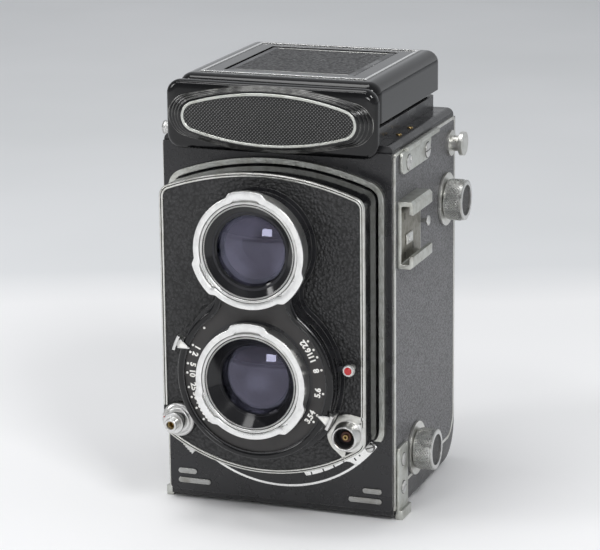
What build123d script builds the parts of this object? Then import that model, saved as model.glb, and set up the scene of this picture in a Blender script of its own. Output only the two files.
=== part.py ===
"""Twin lens reflex camera for 120 roll film, 6 x 6 cm, built as separate pieces.

Frame: millimetres, +Z up, the lenses look along -Y, +X is to the right of someone facing
the lenses. The origin is the mouth of the tripod socket in the base.
"""

import os
from math import atan2, cos, degrees, hypot, radians, sin, sqrt

from build123d import *

os.makedirs("parts", exist_ok=True)

# ---------------------------------------------------------------- driving dimensions
# Picture and film, which set the size of the body
image_size = 57.0
film_margin = 4.4  # from the picture to each end of the spool
spool_length = image_size + 2 * film_margin
spool_end_play = 0.85
spool_chamber_radius = 13.2
spool_flange_radius = 12.5
spool_core_radius = 5.9
spool_bore = 3.0
spool_flange = 1.2

# Optics
lens_spacing = 42.0
taking_z = 48.6
viewing_z = taking_z + lens_spacing
focus_travel = 6.0
bayonet_bore = 16.2
bayonet_radius = bayonet_bore + 1.7
bayonet_lobe_radius = bayonet_radius + 1.4
tube_radius = bayonet_bore - 1.0
tube_bore = tube_radius + 0.2
mirror_front_gap = 3.5
mirror_depth = image_size / 2 + mirror_front_gap  # where the viewing axis meets the mirror
mirror_thickness = 1.2
mirror_width = image_size - 1.0
mirror_low_drop = 22.0
mirror_low_z = viewing_z - mirror_low_drop

# Body casting
wall = 4.5  # side cheeks of the casting
body_width = spool_length + 2 * (spool_end_play + wall)
front_y = -38.0  # front face of the body, ahead of the tripod socket
panel_bottom_z = 1.8
side_bottom_z = 8.0
deck_rise = 2.4
screen_margin = 1.9
deck_z = viewing_z + image_size / 2 + screen_margin
side_top_z = deck_z - deck_rise
mirror_top_drop = 3.4
mirror_back_depth = mirror_depth + deck_z - viewing_z - mirror_top_drop
mirror_rear_wall = 7.2
body_depth = mirror_back_depth + mirror_rear_wall
shoulder_radius = 2.2
panel_thickness = 1.0
front_wall = 2.0
deck_plate = 3.0
toe_depth = 13.2  # the casting reaches the ground line only behind the front panel
corner_radius = 8.0  # rear bottom corner of the side panels
half_width = body_width / 2
inner_half = half_width - wall

# Film chambers
gate_recess = 1.7
gate_depth = body_depth - gate_recess  # film plane behind the front face
takeup_inset = 10.7
takeup_depth = body_depth - takeup_inset
supply_depth = 22.8
supply_drop = 3.6
supply_z = taking_z - image_size / 2 - supply_drop
roller_radius = 2.6
roller_proud = 0.9
roller_depth = gate_depth - roller_proud
upper_roller_z = taking_z + image_size / 2 + roller_radius - 0.3
lower_roller_z = supply_z - roller_radius - 1.5
takeup_rise = 13.1  # keeps the full spool clear of the roller
takeup_z = upper_roller_z + takeup_rise

# Lens board and its surroundings
boss_radius = 5.6
boss_gap = 1.7065
boss_x = 28.4
board_edge = 5.5
board_half_width = boss_x + board_edge
board_top_z = 113.2
board_top_corner_z = 106.5
board_depth_front = 14.0  # front of the board ahead of the front face
board_depth_back = 2.0
board_wall = 1.2
board_plate = 1.5
rim_width = 1.75
rim_height = 1.7
slide_gap = 0.4

# Shutter housing and lenses
housing_radius = 26.0
board_foot = 6.8  # from the housing to the lowest point of the board
board_bottom_z = taking_z - housing_radius - board_foot
boss_reach = housing_radius + boss_radius + boss_gap
boss_z = taking_z - sqrt(boss_reach**2 - boss_x**2)
board_bottom_corner_z = boss_z - 4.2
viewing_collar_radius = bayonet_radius - 0.9
neck_fillet = 9.0
housing_height = 8.0
housing_rim = 2.4
scale_recess = 0.7
bayonet_thickness = 1.4
bayonet_front = 26.0  # ahead of the front face
taking_collar_radius = bayonet_radius + 1.3
groove_radius = taking_collar_radius + 2.0  # floor of the lever slots
name_ring_radius = bayonet_bore - 1.2
glass_radius = 11.7

# Nameplate housing
name_inset = 3.25
name_half_width = half_width - name_inset
name_lap = 1.3  # the housing hangs over the top of the front panel
name_height = 22.0
name_bottom_z = side_top_z - name_lap
name_top_z = name_bottom_z + name_height
name_front = 7.0
name_back = 1.8
badge_inset = 5.9
badge_half_width = name_half_width - badge_inset
badge_half_height = 8.6
badge_end_radius = 5.0

# Hood
base_height = 4.3
base_inset = 6.05
base_half_width = half_width - base_inset
base_front = -0.8
base_rear_step = 0.4
base_back = body_depth - base_rear_step
base_top_z = deck_z + base_height
lid_gap = 1.9
hood_height = 13.0
hood_bottom_z = base_top_z + lid_gap
hood_top_z = hood_bottom_z + hood_height
hood_inset = 4.75
hood_half_width = half_width - hood_inset
hood_front = 0.6
hood_overhang = 1.7
hood_back = body_depth + hood_overhang
hood_wall = 1.2
lid_hinge_depth = -0.2
lid_hinge_drop = 2.6
lid_hinge_z = hood_top_z - lid_hinge_drop
lid_knuckle_radius = 1.2
screen_lap = 2.0
screen_size = image_size + 2 * screen_lap
screen_opening = image_size - 1.0
screen_thickness = 1.4
flap_thickness = 0.6
side_flap_inset = 7.95
side_flap_x = half_width - side_flap_inset
side_flap_gap = 1.3
side_flap_length = side_flap_x - side_flap_gap
side_flap_front = 6.0
side_flap_back = side_flap_front + 55.0
side_flap_lean = 11.0
back_flap_inset = 2.8
back_flap_depth = base_back - back_flap_inset
back_flap_length = 36.0
back_flap_width = 2 * side_flap_x - 6.6
lid_line_border = 5.7
lid_line_half = hood_half_width - lid_line_border
lid_line_front = 6.7
lid_line_rear_border = 5.5
lid_line_back = hood_back - lid_line_rear_border
finder_half_width = 21.5
finder_border = 6.0
finder_front = lid_line_front + finder_border
finder_back = lid_line_back - lid_line_border

# Back door
door_seam = 0.3
door_side_step = 0.15
door_half_width = half_width - door_side_step
door_thickness = 1.3
door_space = 3.7  # from the casting to the outside of the door
door_outer = body_depth + door_space
door_radius = 12.0
door_flange_back = body_depth + door_seam
door_drop = 1.0
door_top_z = side_top_z - door_drop
door_hinge_drop = 1.0
door_hinge_depth = body_depth + 1.8
door_hinge_z = deck_z - door_hinge_drop
door_knuckle_radius = 1.5
bolt_z = 2.5
bolt_width = 8.0
bolt_thickness = 1.8
tripod_radius = 3.175
tripod_depth = 5.5
tripod_bush_radius = 5.2

# Side furniture
leather = 0.5
trim_width = 1.0
trim_height = 0.6
knob_radius = 6.6
knob_reach = 7.9
knob_flange_radius = 8.8
knob_pull = 5.0
crank_depth = 30.0
crank_z = 95.0
crank_grip_depth = 26.0
crank_grip_z = 117.2
crank_reach = 10.4

rear_y = front_y + body_depth
casting_front_y = front_y + panel_thickness


def at(depth):
    """Y of a point that lies `depth` behind the front face."""
    return front_y + depth


def facing(y):
    """Plane at `y` whose sketches are in X and Z and whose extrusions run to the front."""
    return Plane.XZ.offset(-y)


def side(x):
    """Plane at `x` whose sketches are in Y and Z and whose extrusions run along +X."""
    return Plane.YZ.offset(x)


def lens_axis(z):
    return Axis((0, 0, z), (0, -1, 0))


def save(builder, name):
    builder.part.label = name
    export_step(builder.part, f"parts/{name}.step")


def board_outline(grow=0.0):
    """Arched outline of the lens board, grown by `grow` all round."""
    w = board_half_width
    with BuildSketch(mode=Mode.PRIVATE) as outline:
        with BuildLine():
            ThreePointArc(
                (-w, board_top_corner_z), (0, board_top_z), (w, board_top_corner_z)
            )
            Line((w, board_top_corner_z), (w, board_bottom_corner_z))
            ThreePointArc(
                (w, board_bottom_corner_z), (0, board_bottom_z), (-w, board_bottom_corner_z)
            )
            Line((-w, board_bottom_corner_z), (-w, board_top_corner_z))
        make_face()
        top = outline.vertices().group_by(Axis.Y)[-1]
        fillet(top, 4.0)
        bottom = outline.vertices().group_by(Axis.Y)[0]
        fillet(bottom, 4.0)
        if grow:
            offset(amount=grow, kind=Kind.ARC)
    return outline.sketch


def figure_eight(grow=0.0):
    """Outline that wraps the shutter and runs up to the viewing lens."""
    low = Vector(0, taking_z)
    high = Vector(0, viewing_z)
    low_reach = housing_radius + neck_fillet
    high_reach = viewing_collar_radius + neck_fillet
    rise = (low_reach**2 - high_reach**2 + lens_spacing**2) / (2 * lens_spacing)
    waist = low + Vector(sqrt(low_reach**2 - rise**2), rise)
    low_touch = low + (waist - low).normalized() * (housing_radius + grow)
    high_touch = high + (waist - high).normalized() * (viewing_collar_radius + grow)
    inward = ((low_touch - waist).normalized() + (high_touch - waist).normalized()).normalized()
    neck = waist + inward * (neck_fillet - grow)
    with BuildSketch(mode=Mode.PRIVATE) as outline:
        with BuildLine():
            ThreePointArc(low_touch, neck, high_touch)
            ThreePointArc(
                high_touch,
                high + Vector(0, viewing_collar_radius + grow),
                Vector(-high_touch.X, high_touch.Y),
            )
            ThreePointArc(
                Vector(-high_touch.X, high_touch.Y),
                Vector(-neck.X, neck.Y),
                Vector(-low_touch.X, low_touch.Y),
            )
            ThreePointArc(
                Vector(-low_touch.X, low_touch.Y),
                low - Vector(0, housing_radius + grow),
                low_touch,
            )
        make_face()
    return outline.sketch


def oval(half_length, half_height, end_radius):
    """Four-arc oval, centred on its own origin."""
    run = half_length - end_radius
    big = (run**2 + half_height**2 - end_radius**2) / (2 * (half_height - end_radius))
    lean = atan2(run, big - half_height)
    px = big * sin(lean)
    py = big * cos(lean) - (big - half_height)
    with BuildSketch(mode=Mode.PRIVATE) as shape:
        with BuildLine():
            ThreePointArc((-px, py), (0, half_height), (px, py))
            ThreePointArc((px, py), (half_length, 0), (px, -py))
            ThreePointArc((px, -py), (0, -half_height), (-px, -py))
            ThreePointArc((-px, -py), (-half_length, 0), (-px, py))
        make_face()
    return shape.sketch


def ring_sector(inner, outer, start, end):
    """Sector of a ring about the sketch origin, angles in degrees."""
    a = radians(start)
    b = radians(end)
    m = (a + b) / 2
    with BuildSketch(mode=Mode.PRIVATE) as shape:
        with BuildLine():
            ThreePointArc(
                (outer * cos(a), outer * sin(a)),
                (outer * cos(m), outer * sin(m)),
                (outer * cos(b), outer * sin(b)),
            )
            Line((outer * cos(b), outer * sin(b)), (inner * cos(b), inner * sin(b)))
            ThreePointArc(
                (inner * cos(b), inner * sin(b)),
                (inner * cos(m), inner * sin(m)),
                (inner * cos(a), inner * sin(a)),
            )
            Line((inner * cos(a), inner * sin(a)), (outer * cos(a), outer * sin(a)))
        make_face()
    return shape.sketch


# ---------------------------------------------------------------- body casting
toe_y = at(toe_depth)
mirror_slope_z = viewing_z - at(mirror_depth)  # mirror face: z = y + mirror_slope_z
seat_slope_z = mirror_slope_z - mirror_thickness * sqrt(2)
mirror_back_y = at(mirror_back_depth)

wall_back_y = casting_front_y + front_wall
deck_under_z = deck_z - deck_plate


def casting_profile(front, top, foot):
    """Side profile of the casting from `front` to its rear edge, with the toe at its foot."""
    with BuildSketch(mode=Mode.PRIVATE) as shape:
        with BuildLine():
            Polyline(
                (front, 0), (toe_y, 0), (toe_y, foot), (rear_y - corner_radius, foot)
            )
            RadiusArc(
                (rear_y - corner_radius, foot), (rear_y, foot + corner_radius), -corner_radius
            )
            Polyline((rear_y, foot + corner_radius), (rear_y, top), (front, top), (front, 0))
        make_face()
    return shape.sketch


# Everything hollow between the cheeks: film chambers, cone of light and mirror box
with BuildPart() as hollows:
    # Supply chamber and the film's way under the cone to the gate
    with BuildSketch(side(-inner_half)):
        with Locations((at(supply_depth), supply_z)):
            Circle(spool_chamber_radius)
        with Locations((at(supply_depth), 0)):
            Rectangle(
                gate_depth + 6 - supply_depth, supply_z - 1, align=(Align.MIN, Align.MIN)
            )
        with Locations((at(supply_depth), 0)):
            Rectangle(
                2 * spool_chamber_radius - 4, supply_z, align=(Align.CENTER, Align.MIN)
            )
    extrude(amount=2 * inner_half)
    # Take-up chamber, open to the rear
    with BuildSketch(side(-inner_half)):
        with Locations((at(takeup_depth), takeup_z)):
            Circle(spool_chamber_radius)
            Rectangle(
                body_depth - takeup_depth + 1,
                2 * spool_chamber_radius,
                align=(Align.MIN, Align.CENTER),
            )
    extrude(amount=2 * inner_half)
    # Roller pockets above and below the gate
    with BuildSketch(side(-inner_half)):
        for z in (upper_roller_z, lower_roller_z):
            with Locations((at(roller_depth), z)):
                Circle(roller_radius + 0.3)
                Rectangle(8, 2 * roller_radius + 0.6, align=(Align.MIN, Align.CENTER))
    extrude(amount=2 * inner_half)
    # Film track recess behind the gate
    with BuildSketch(side(-inner_half)):
        with Locations((at(gate_depth), supply_z - 4)):
            Rectangle(
                body_depth - gate_depth + 1,
                takeup_z - supply_z,
                align=(Align.MIN, Align.MIN),
            )
    extrude(amount=2 * inner_half)
    # Light cone of the taking lens
    with BuildSketch(facing(at(14))) as cone_front:
        with Locations((0, taking_z)):
            Rectangle(image_size / 2, image_size / 2)
    with BuildSketch(facing(at(gate_depth + 0.1))) as cone_back:
        with Locations((0, taking_z)):
            Rectangle(image_size, image_size)
    loft()
    # Mirror box over the sloping seat
    with BuildSketch(side(-mirror_width / 2 - 0.5)):
        with BuildLine():
            Polyline(
                (wall_back_y, mirror_low_z),
                (wall_back_y, deck_z + 1),
                (mirror_back_y, deck_z + 1),
                (mirror_back_y, mirror_back_y + seat_slope_z),
                (mirror_low_z - seat_slope_z, mirror_low_z),
                close=True,
            )
        make_face()
    extrude(amount=mirror_width + 1)
    # Bores of the two lens tubes
    for z in (taking_z, viewing_z):
        with BuildSketch(facing(at(15))):
            with Locations((0, z)):
                Circle(tube_bore)
        extrude(amount=16)
    # Pocket that takes the door bolt
    with BuildSketch(facing(toe_y + 1)):
        with Locations((0, bolt_z)):
            Rectangle(bolt_width + 0.6, bolt_thickness + 0.5)
    extrude(amount=5)

# Inner casting between the cheeks, with the chambers, the gate and the mirror seat
with BuildPart() as light_chamber:
    with BuildSketch(side(-inner_half)):
        add(casting_profile(wall_back_y, deck_under_z, side_bottom_z))
    extrude(amount=2 * inner_half)
    add(hollows, mode=Mode.SUBTRACT)
save(light_chamber, "light_chamber")

# Outer casting: two cheeks, the front wall and the deck
with BuildPart() as body_casting:
    with BuildSketch(side(-half_width)):
        add(casting_profile(casting_front_y, deck_z, side_bottom_z))
    extrude(amount=body_width)
    shoulders = body_casting.edges().filter_by(Axis.Y).group_by(Axis.Z)[-1]
    fillet(shoulders, shoulder_radius)
    with BuildSketch(side(-inner_half)):
        add(casting_profile(wall_back_y, deck_under_z, side_bottom_z))
    extrude(amount=2 * inner_half, mode=Mode.SUBTRACT)
    add(hollows, mode=Mode.SUBTRACT)
    # Shaft bores of the two film knobs on the right and of the winding key on the left
    for depth, z, start in (
        (takeup_depth, takeup_z, inner_half - 1),
        (supply_depth, supply_z, inner_half - 1),
        (takeup_depth, takeup_z, -half_width - 1),
    ):
        with BuildSketch(side(start)):
            with Locations((at(depth), z)):
                Circle(2.55)
        extrude(amount=wall + 2, mode=Mode.SUBTRACT)
    with BuildSketch(side(-half_width - 1)):
        with Locations((at(crank_depth), crank_z)):
            Circle(2.55)
    extrude(amount=4, mode=Mode.SUBTRACT)
    # Knuckles of the door hinge
    for x in (-21, 12.3):
        with BuildSketch(side(x)):
            with Locations((at(door_hinge_depth), door_hinge_z)):
                Circle(door_knuckle_radius)
            with Locations((rear_y - 0.5, door_hinge_z - 1.2)):
                Rectangle(1.6, 2.2, align=(Align.MIN, Align.MIN))
            with Locations((at(door_hinge_depth), door_hinge_z)):
                Circle(0.75, mode=Mode.SUBTRACT)
        extrude(amount=8.7)
save(body_casting, "body_casting")

with BuildPart() as front_panel:
    with BuildSketch(facing(casting_front_y)):
        with Locations((0, panel_bottom_z)):
            Rectangle(
                body_width, side_top_z - panel_bottom_z, align=(Align.CENTER, Align.MIN)
            )
        with Locations((0, taking_z), (0, viewing_z)):
            Circle(tube_bore + 0.3, mode=Mode.SUBTRACT)
    extrude(amount=panel_thickness)
    feet_corners = front_panel.edges().filter_by(Axis.Y).group_by(Axis.Z)[0]
    fillet(feet_corners, 1.6)
save(front_panel, "front_panel")

# ---------------------------------------------------------------- front furniture
rim_inner = 0.45
rim_end_z = 25.6
stripe_height = 1.7
stripe_proud = 0.4
stripes = (
    (-35.3, -28.9, 8.4),
    (-35.3, -24.1, 5.2),
    (28.4, 34.7, 8.2),
    (23.6, 34.7, 4.9),
)

with BuildPart() as front_trim:
    with BuildSketch(facing(front_y)):
        add(board_outline(rim_inner + rim_width))
        add(board_outline(rim_inner), mode=Mode.SUBTRACT)
        with Locations((0, rim_end_z)):
            Rectangle(
                2 * body_width, rim_end_z, align=(Align.CENTER, Align.MAX), mode=Mode.SUBTRACT
            )
    extrude(amount=rim_height)
    for left, right, z in stripes:
        with BuildSketch(facing(front_y)):
            with Locations(((left + right) / 2, z)):
                SlotOverall(right - left, stripe_height)
        extrude(amount=stripe_proud)
save(front_trim, "front_trim")

# Fixed inner wall that the board's skirt slides over
shroud_reach = 9.0
shroud_wall = 1.0
lever_slot = 2.2
skirt_inside = -board_wall - slide_gap
with BuildPart() as focus_shroud:
    with BuildSketch(facing(front_y)):
        add(board_outline(skirt_inside))
        add(board_outline(skirt_inside - shroud_wall), mode=Mode.SUBTRACT)
    extrude(amount=shroud_reach)
    with BuildSketch(facing(front_y)):
        with Locations((-6, board_bottom_z)):
            Rectangle(54, 34, align=(Align.CENTER, Align.CENTER))
    extrude(amount=lever_slot, mode=Mode.SUBTRACT)
save(focus_shroud, "focus_shroud")

# Crescent scale plate round the foot of the board
scale_radius = housing_radius + 15.8
scale_inner = housing_radius + 5.5
scale_screw_radius = scale_radius - 1.6
scale_screw_angle = radians(-39.5)
scale_thickness = 0.55
with BuildPart() as focus_scale:
    with BuildSketch(facing(front_y)):
        with Locations((0, taking_z)):
            add(ring_sector(scale_inner, scale_radius, -129, -37))
        add(board_outline(0.3), mode=Mode.SUBTRACT)
    extrude(amount=scale_thickness)
    with BuildSketch(facing(front_y - scale_thickness)):
        with Locations((0, taking_z)):
            with Locations(
                (
                    scale_screw_radius * cos(scale_screw_angle),
                    scale_screw_radius * sin(scale_screw_angle),
                )
            ):
                Circle(1.3)
    extrude(amount=0.5)
save(focus_scale, "focus_scale")

# Bulged housing over the lenses, stepped down to its oval badge
with BuildPart() as nameplate_housing:
    name_middle_z = (name_bottom_z + name_top_z) / 2
    name_height = name_top_z - name_bottom_z
    block_front = name_front - 1.8
    with BuildSketch(facing(at(-name_back))):
        with Locations((0, name_middle_z)):
            RectangleRounded(2 * name_half_width, name_height, 4.5)
    extrude(amount=block_front - name_back)
    edge = nameplate_housing.faces().sort_by(Axis.Y)[0].edges()
    fillet(edge, 1.6)
    steps = ((33.4, 10.0, 6.6), (32.0, 9.6, 6.2), (30.7, 9.3, 5.8))
    for index, (length, height, end) in enumerate(steps):
        with BuildSketch(facing(at(-block_front - 0.6 * index))):
            with Locations((0, name_middle_z)):
                add(oval(length, height, end))
        extrude(amount=0.6)
    badge_seat = 0.5
    with BuildSketch(facing(at(-name_front))):
        with Locations((0, name_middle_z)):
            add(oval(badge_half_width, badge_half_height, badge_end_radius))
    extrude(amount=-badge_seat, mode=Mode.SUBTRACT)
    # Foot that stands on the front panel
    with BuildSketch(facing(front_y)):
        with Locations((0, name_bottom_z + 0.6)):
            Rectangle(2 * name_half_width - 9, side_top_z - name_bottom_z - 0.6,
                      align=(Align.CENTER, Align.MIN))
    extrude(amount=name_back)
    # Knuckles for the hood lid
    for x in (-28, 20.2):
        with BuildSketch(side(x)):
            with Locations((at(lid_hinge_depth), lid_hinge_z)):
                Circle(lid_knuckle_radius)
            with Locations((at(-name_back - 0.3), lid_hinge_z)):
                Rectangle(1.5, 1.6, align=(Align.MIN, Align.CENTER))
            with Locations((at(lid_hinge_depth), lid_hinge_z)):
                Circle(0.65, mode=Mode.SUBTRACT)
        extrude(amount=7.8)
save(nameplate_housing, "nameplate_housing")

with BuildPart() as name_badge:
    with BuildSketch(facing(at(-name_front + badge_seat))):
        with Locations((0, name_middle_z)):
            add(oval(badge_half_width, badge_half_height, badge_end_radius))
    extrude(amount=badge_seat + 0.35)
    with BuildSketch(facing(at(-name_front - 0.35))):
        with Locations((0, name_middle_z)):
            add(oval(badge_half_width - 1.0, badge_half_height - 1.0, badge_end_radius - 1.0))
    extrude(amount=-0.45, mode=Mode.SUBTRACT)
save(name_badge, "name_badge")

# ---------------------------------------------------------------- side panels


def panel_outline(inset):
    """Outline of a side panel in Y and Z, drawn in by `inset`."""
    r = corner_radius - inset
    front = casting_front_y + inset
    rear = rear_y - inset
    low = side_bottom_z + inset
    toe = panel_bottom_z + inset
    high = side_top_z - inset
    with BuildSketch(mode=Mode.PRIVATE) as outline:
        with BuildLine():
            Polyline(
                (rear, low + r),
                (rear, high),
                (front, high),
                (front, toe),
                (toe_y - inset, toe),
                (toe_y - inset, low),
                (rear - r, low),
            )
            RadiusArc((rear - r, low), (rear, low + r), -r)
        make_face()
        top = outline.vertices().sort_by(Axis.Y)[-2:]
        fillet(top, 1.6)
    return outline.sketch


with BuildPart() as side_trim:
    for sign in (-1, 1):
        with BuildSketch(side(sign * half_width)):
            add(panel_outline(0.1))
            add(panel_outline(0.1 + trim_width), mode=Mode.SUBTRACT)
        extrude(amount=sign * trim_height)
save(side_trim, "side_trim")

with BuildPart() as side_leather:
    for sign, openings in (
        (-1, ((takeup_depth, takeup_z, 3.0), (crank_depth, crank_z, 6.2))),
        (1, ((takeup_depth, takeup_z, 3.0), (supply_depth, supply_z, 3.0))),
    ):
        with BuildSketch(side(sign * half_width)):
            add(panel_outline(0.12 + trim_width))
            for depth, z, radius in openings:
                with Locations((at(depth), z)):
                    Circle(radius, mode=Mode.SUBTRACT)
        extrude(amount=sign * leather)
save(side_leather, "side_leather")

skin = half_width + leather

with BuildPart() as shaft_flanges:
    for depth, z in ((takeup_depth, takeup_z), (supply_depth, supply_z)):
        with BuildSketch(side(half_width + trim_height)):
            with Locations((at(depth), z)):
                Circle(knob_flange_radius)
                with PolarLocations(knob_flange_radius + 2.4, 2, start_angle=0):
                    Circle(3.0, mode=Mode.SUBTRACT)
                Circle(2.55, mode=Mode.SUBTRACT)
        extrude(amount=0.8)
    with BuildSketch(side(-half_width)):
        with Locations((at(crank_depth), crank_z)):
            Circle(6.0)
            Circle(2.55, mode=Mode.SUBTRACT)
    extrude(amount=-2.2)
save(shaft_flanges, "shaft_flanges")

shoe_depth = 3.6
shoe_length = 20.6
shoe_z = 92.1
shoe_height = 21.6
shoe_wall = 1.3
shoe_reach = 5.2
shoe_lip = 4.1
with BuildPart() as accessory_shoe:
    with BuildSketch(facing(at(shoe_depth + shoe_length))):
        with Locations((skin, shoe_z)):
            Rectangle(shoe_reach, shoe_height, align=(Align.MIN, Align.CENTER))
        with Locations((skin + shoe_wall, shoe_z)):
            Rectangle(
                shoe_reach - 2 * shoe_wall,
                shoe_height - 2 * shoe_wall,
                align=(Align.MIN, Align.CENTER),
                mode=Mode.SUBTRACT,
            )
            Rectangle(
                shoe_reach,
                shoe_height - 2 * shoe_lip,
                align=(Align.MIN, Align.CENTER),
                mode=Mode.SUBTRACT,
            )
    extrude(amount=shoe_length)
    # Flat spring on the shoe's floor
    with BuildSketch(side(skin + shoe_wall)):
        with Locations((at(shoe_depth + 9.5), shoe_z - 2.4)):
            RectangleRounded(11, 6.4, 1.2)
    extrude(amount=0.7)
    with BuildSketch(side(skin + shoe_wall)):
        with Locations((at(shoe_depth + 8.0), shoe_z - 2.4)):
            Circle(1.4)
    extrude(amount=1.1)
    # Stop pin behind the shoe
    for start, radius, length in ((0, 0.8, 2.2), (2.2, 1.7, 0.8)):
        with BuildSketch(side(skin + start)):
            with Locations((at(28), shoe_z - 0.5)):
                Circle(radius)
        extrude(amount=length)
save(accessory_shoe, "accessory_shoe")

plate_start = 5.6
plate_length = 32.0
plate_slant = 4.1
plate_top_z = side_top_z - 0.6
plate_height = 7.2
plate_thickness = 1.0
plate_screw = 2.5
strip_height = 1.3
strip_proud = 1.7
with BuildPart() as strap_plate:
    with BuildSketch(side(half_width + trim_height)):
        with BuildLine():
            Polyline(
                (at(plate_start), plate_top_z - plate_height),
                (at(plate_start + plate_length - plate_slant), plate_top_z - plate_height),
                (at(plate_start + plate_length), plate_top_z),
                (at(plate_start), plate_top_z),
                close=True,
            )
        make_face()
    extrude(amount=plate_thickness)
    fillet(strap_plate.edges().filter_by(Axis.X), 2.6)
    with BuildSketch(side(half_width + trim_height)):
        with Locations((at(plate_start + 4.4), plate_top_z - 0.4)):
            Rectangle(plate_length + 1.5, strip_height, align=(Align.MIN, Align.MIN))
    extrude(amount=strip_proud)
    for depth in (plate_start + 7.0, plate_start + plate_length - 5.4):
        with BuildSketch(side(half_width + trim_height + plate_thickness)):
            with Locations((at(depth), plate_top_z - 4.2)):
                Circle(plate_screw)
        extrude(amount=0.6)
save(strap_plate, "strap_plate")

stud_depth = takeup_depth + 5.3
stud_z = takeup_z + 17.8
with BuildPart() as strap_studs:
    for sign in (-1, 1):
        for start, radius, length in ((0, 4.3, 0.8), (0.8, 2.6, 3.0), (3.8, 4.0, 1.3)):
            with BuildSketch(side(sign * (skin + start))):
                with Locations((at(stud_depth), stud_z)):
                    Circle(radius)
            extrude(amount=sign * length)
save(strap_studs, "strap_studs")

foot_depth = 7.2
foot_width = 9.4
foot_top_z = 22.6
foot_drop = 1.6
with BuildPart() as foot_plates:
    for sign in (-1, 1):
        with BuildSketch(side(sign * (half_width + trim_height))):
            with Locations((at(foot_depth), foot_top_z)):
                Rectangle(foot_width, foot_top_z - 0.6, align=(Align.CENTER, Align.MAX))
        extrude(amount=sign * 0.9)
        with BuildSketch(side(sign * (half_width + 0.1))):
            with Locations((at(foot_depth), -foot_drop)):
                Rectangle(foot_width, foot_drop + 1.7, align=(Align.CENTER, Align.MIN))
        extrude(amount=sign * 2.6)
        for z in (17.6, 8.2):
            with BuildSketch(side(sign * (half_width + trim_height + 0.9))):
                with Locations((at(foot_depth), z)):
                    Circle(2.0)
            extrude(amount=sign * 0.5)
save(foot_plates, "foot_plates")

counter_depth = 48.0
counter_z = 72.0
counter_radius = 5.0
window_radius = 3.4
with BuildPart() as frame_counter:
    with BuildSketch(side(-skin)):
        with Locations((at(counter_depth), counter_z)):
            Circle(counter_radius)
    extrude(amount=-0.7)
    with BuildSketch(side(-skin - 0.7)):
        with Locations((at(counter_depth), counter_z)):
            Circle(counter_radius)
            Circle(window_radius, mode=Mode.SUBTRACT)
    extrude(amount=-0.5)
save(frame_counter, "frame_counter")

# ---------------------------------------------------------------- film transport
with BuildPart() as takeup_spool:
    spool_start = -spool_length / 2
    for start, radius, length in (
        (spool_start, spool_flange_radius, spool_flange),
        (spool_start + spool_flange, spool_core_radius, spool_length - 2 * spool_flange),
        (spool_length / 2 - spool_flange, spool_flange_radius, spool_flange),
    ):
        with BuildSketch(side(start)):
            with Locations((at(takeup_depth), takeup_z)):
                Circle(radius)
        extrude(amount=length)
    for start in (spool_start, spool_length / 2 - 6):
        with BuildSketch(side(start)):
            with Locations((at(takeup_depth), takeup_z)):
                Circle(spool_bore)
        extrude(amount=6, mode=Mode.SUBTRACT)
    with BuildSketch(side(-spool_length / 2 + 8)):
        with Locations((at(takeup_depth), takeup_z)):
            Rectangle(1.2, 2 * spool_core_radius + 2)
    extrude(amount=spool_length - 16, mode=Mode.SUBTRACT)
save(takeup_spool, "takeup_spool")

with BuildPart() as winding_key:
    with BuildSketch(side(-half_width + 0.4)):
        with Locations((at(takeup_depth), takeup_z)):
            Circle(2.5)
    extrude(amount=half_width - spool_length / 2 + 3.4)
save(winding_key, "winding_key")

for name, depth, z, inside in (
    ("takeup_knob", takeup_depth, takeup_z, 3.0),
    ("supply_knob", supply_depth, supply_z, 3.0),
):
    with BuildPart() as knob:
        with BuildSketch(side(skin + 1.0)):
            with Locations((at(depth), z)):
                Circle(knob_radius)
        extrude(amount=knob_reach - leather - 1.0)
        ends = knob.edges().filter_by(GeomType.CIRCLE)
        chamfer(ends, 0.4)
        with BuildSketch(side(half_width + knob_reach)):
            with Locations((at(depth), z)):
                Circle(knob_radius - 1.5)
        extrude(amount=-0.8, mode=Mode.SUBTRACT)
        with BuildSketch(side(spool_length / 2 - inside)):
            with Locations((at(depth), z)):
                Circle(2.5)
        extrude(amount=skin + 1.0 - spool_length / 2 + inside)
    save(knob, name)

for name, z in (("upper_roller", upper_roller_z), ("lower_roller", lower_roller_z)):
    with BuildPart() as roller:
        with BuildSketch(side(-inner_half + 0.3)):
            with Locations((at(roller_depth), z)):
                Circle(roller_radius)
        extrude(amount=2 * inner_half - 0.6)
    save(roller, name)

# Winding crank on the left
crank_rise = crank_grip_z - crank_z
crank_run = crank_grip_depth - crank_depth
crank_length = sqrt(crank_rise**2 + crank_run**2)
arm_x = -(half_width + 2.5)
with BuildPart() as crank_arm:
    with BuildSketch(side(arm_x)):
        with Locations((at(crank_depth), crank_z)):
            Circle(6.0)
        with Locations((at(crank_grip_depth), crank_grip_z)):
            Circle(3.4)
        with Locations(
            Location(
                (at((crank_depth + crank_grip_depth) / 2), (crank_z + crank_grip_z) / 2),
                degrees(atan2(crank_rise, crank_run)),
            )
        ):
            Rectangle(crank_length, 5.2)
    extrude(amount=-2.0)
    with BuildSketch(side(arm_x)):
        with Locations((at(crank_depth), crank_z)):
            Circle(2.5)
    extrude(amount=5.2)
    with BuildSketch(side(arm_x - 2.0)):
        with Locations((at(crank_depth), crank_z)):
            Circle(3.2)
    extrude(amount=-0.8)
    with BuildSketch(side(arm_x - 2.0)):
        with Locations((at(crank_grip_depth), crank_grip_z)):
            Circle(1.0)
    extrude(amount=-(crank_reach - 5.0))
save(crank_arm, "crank_arm")

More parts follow.
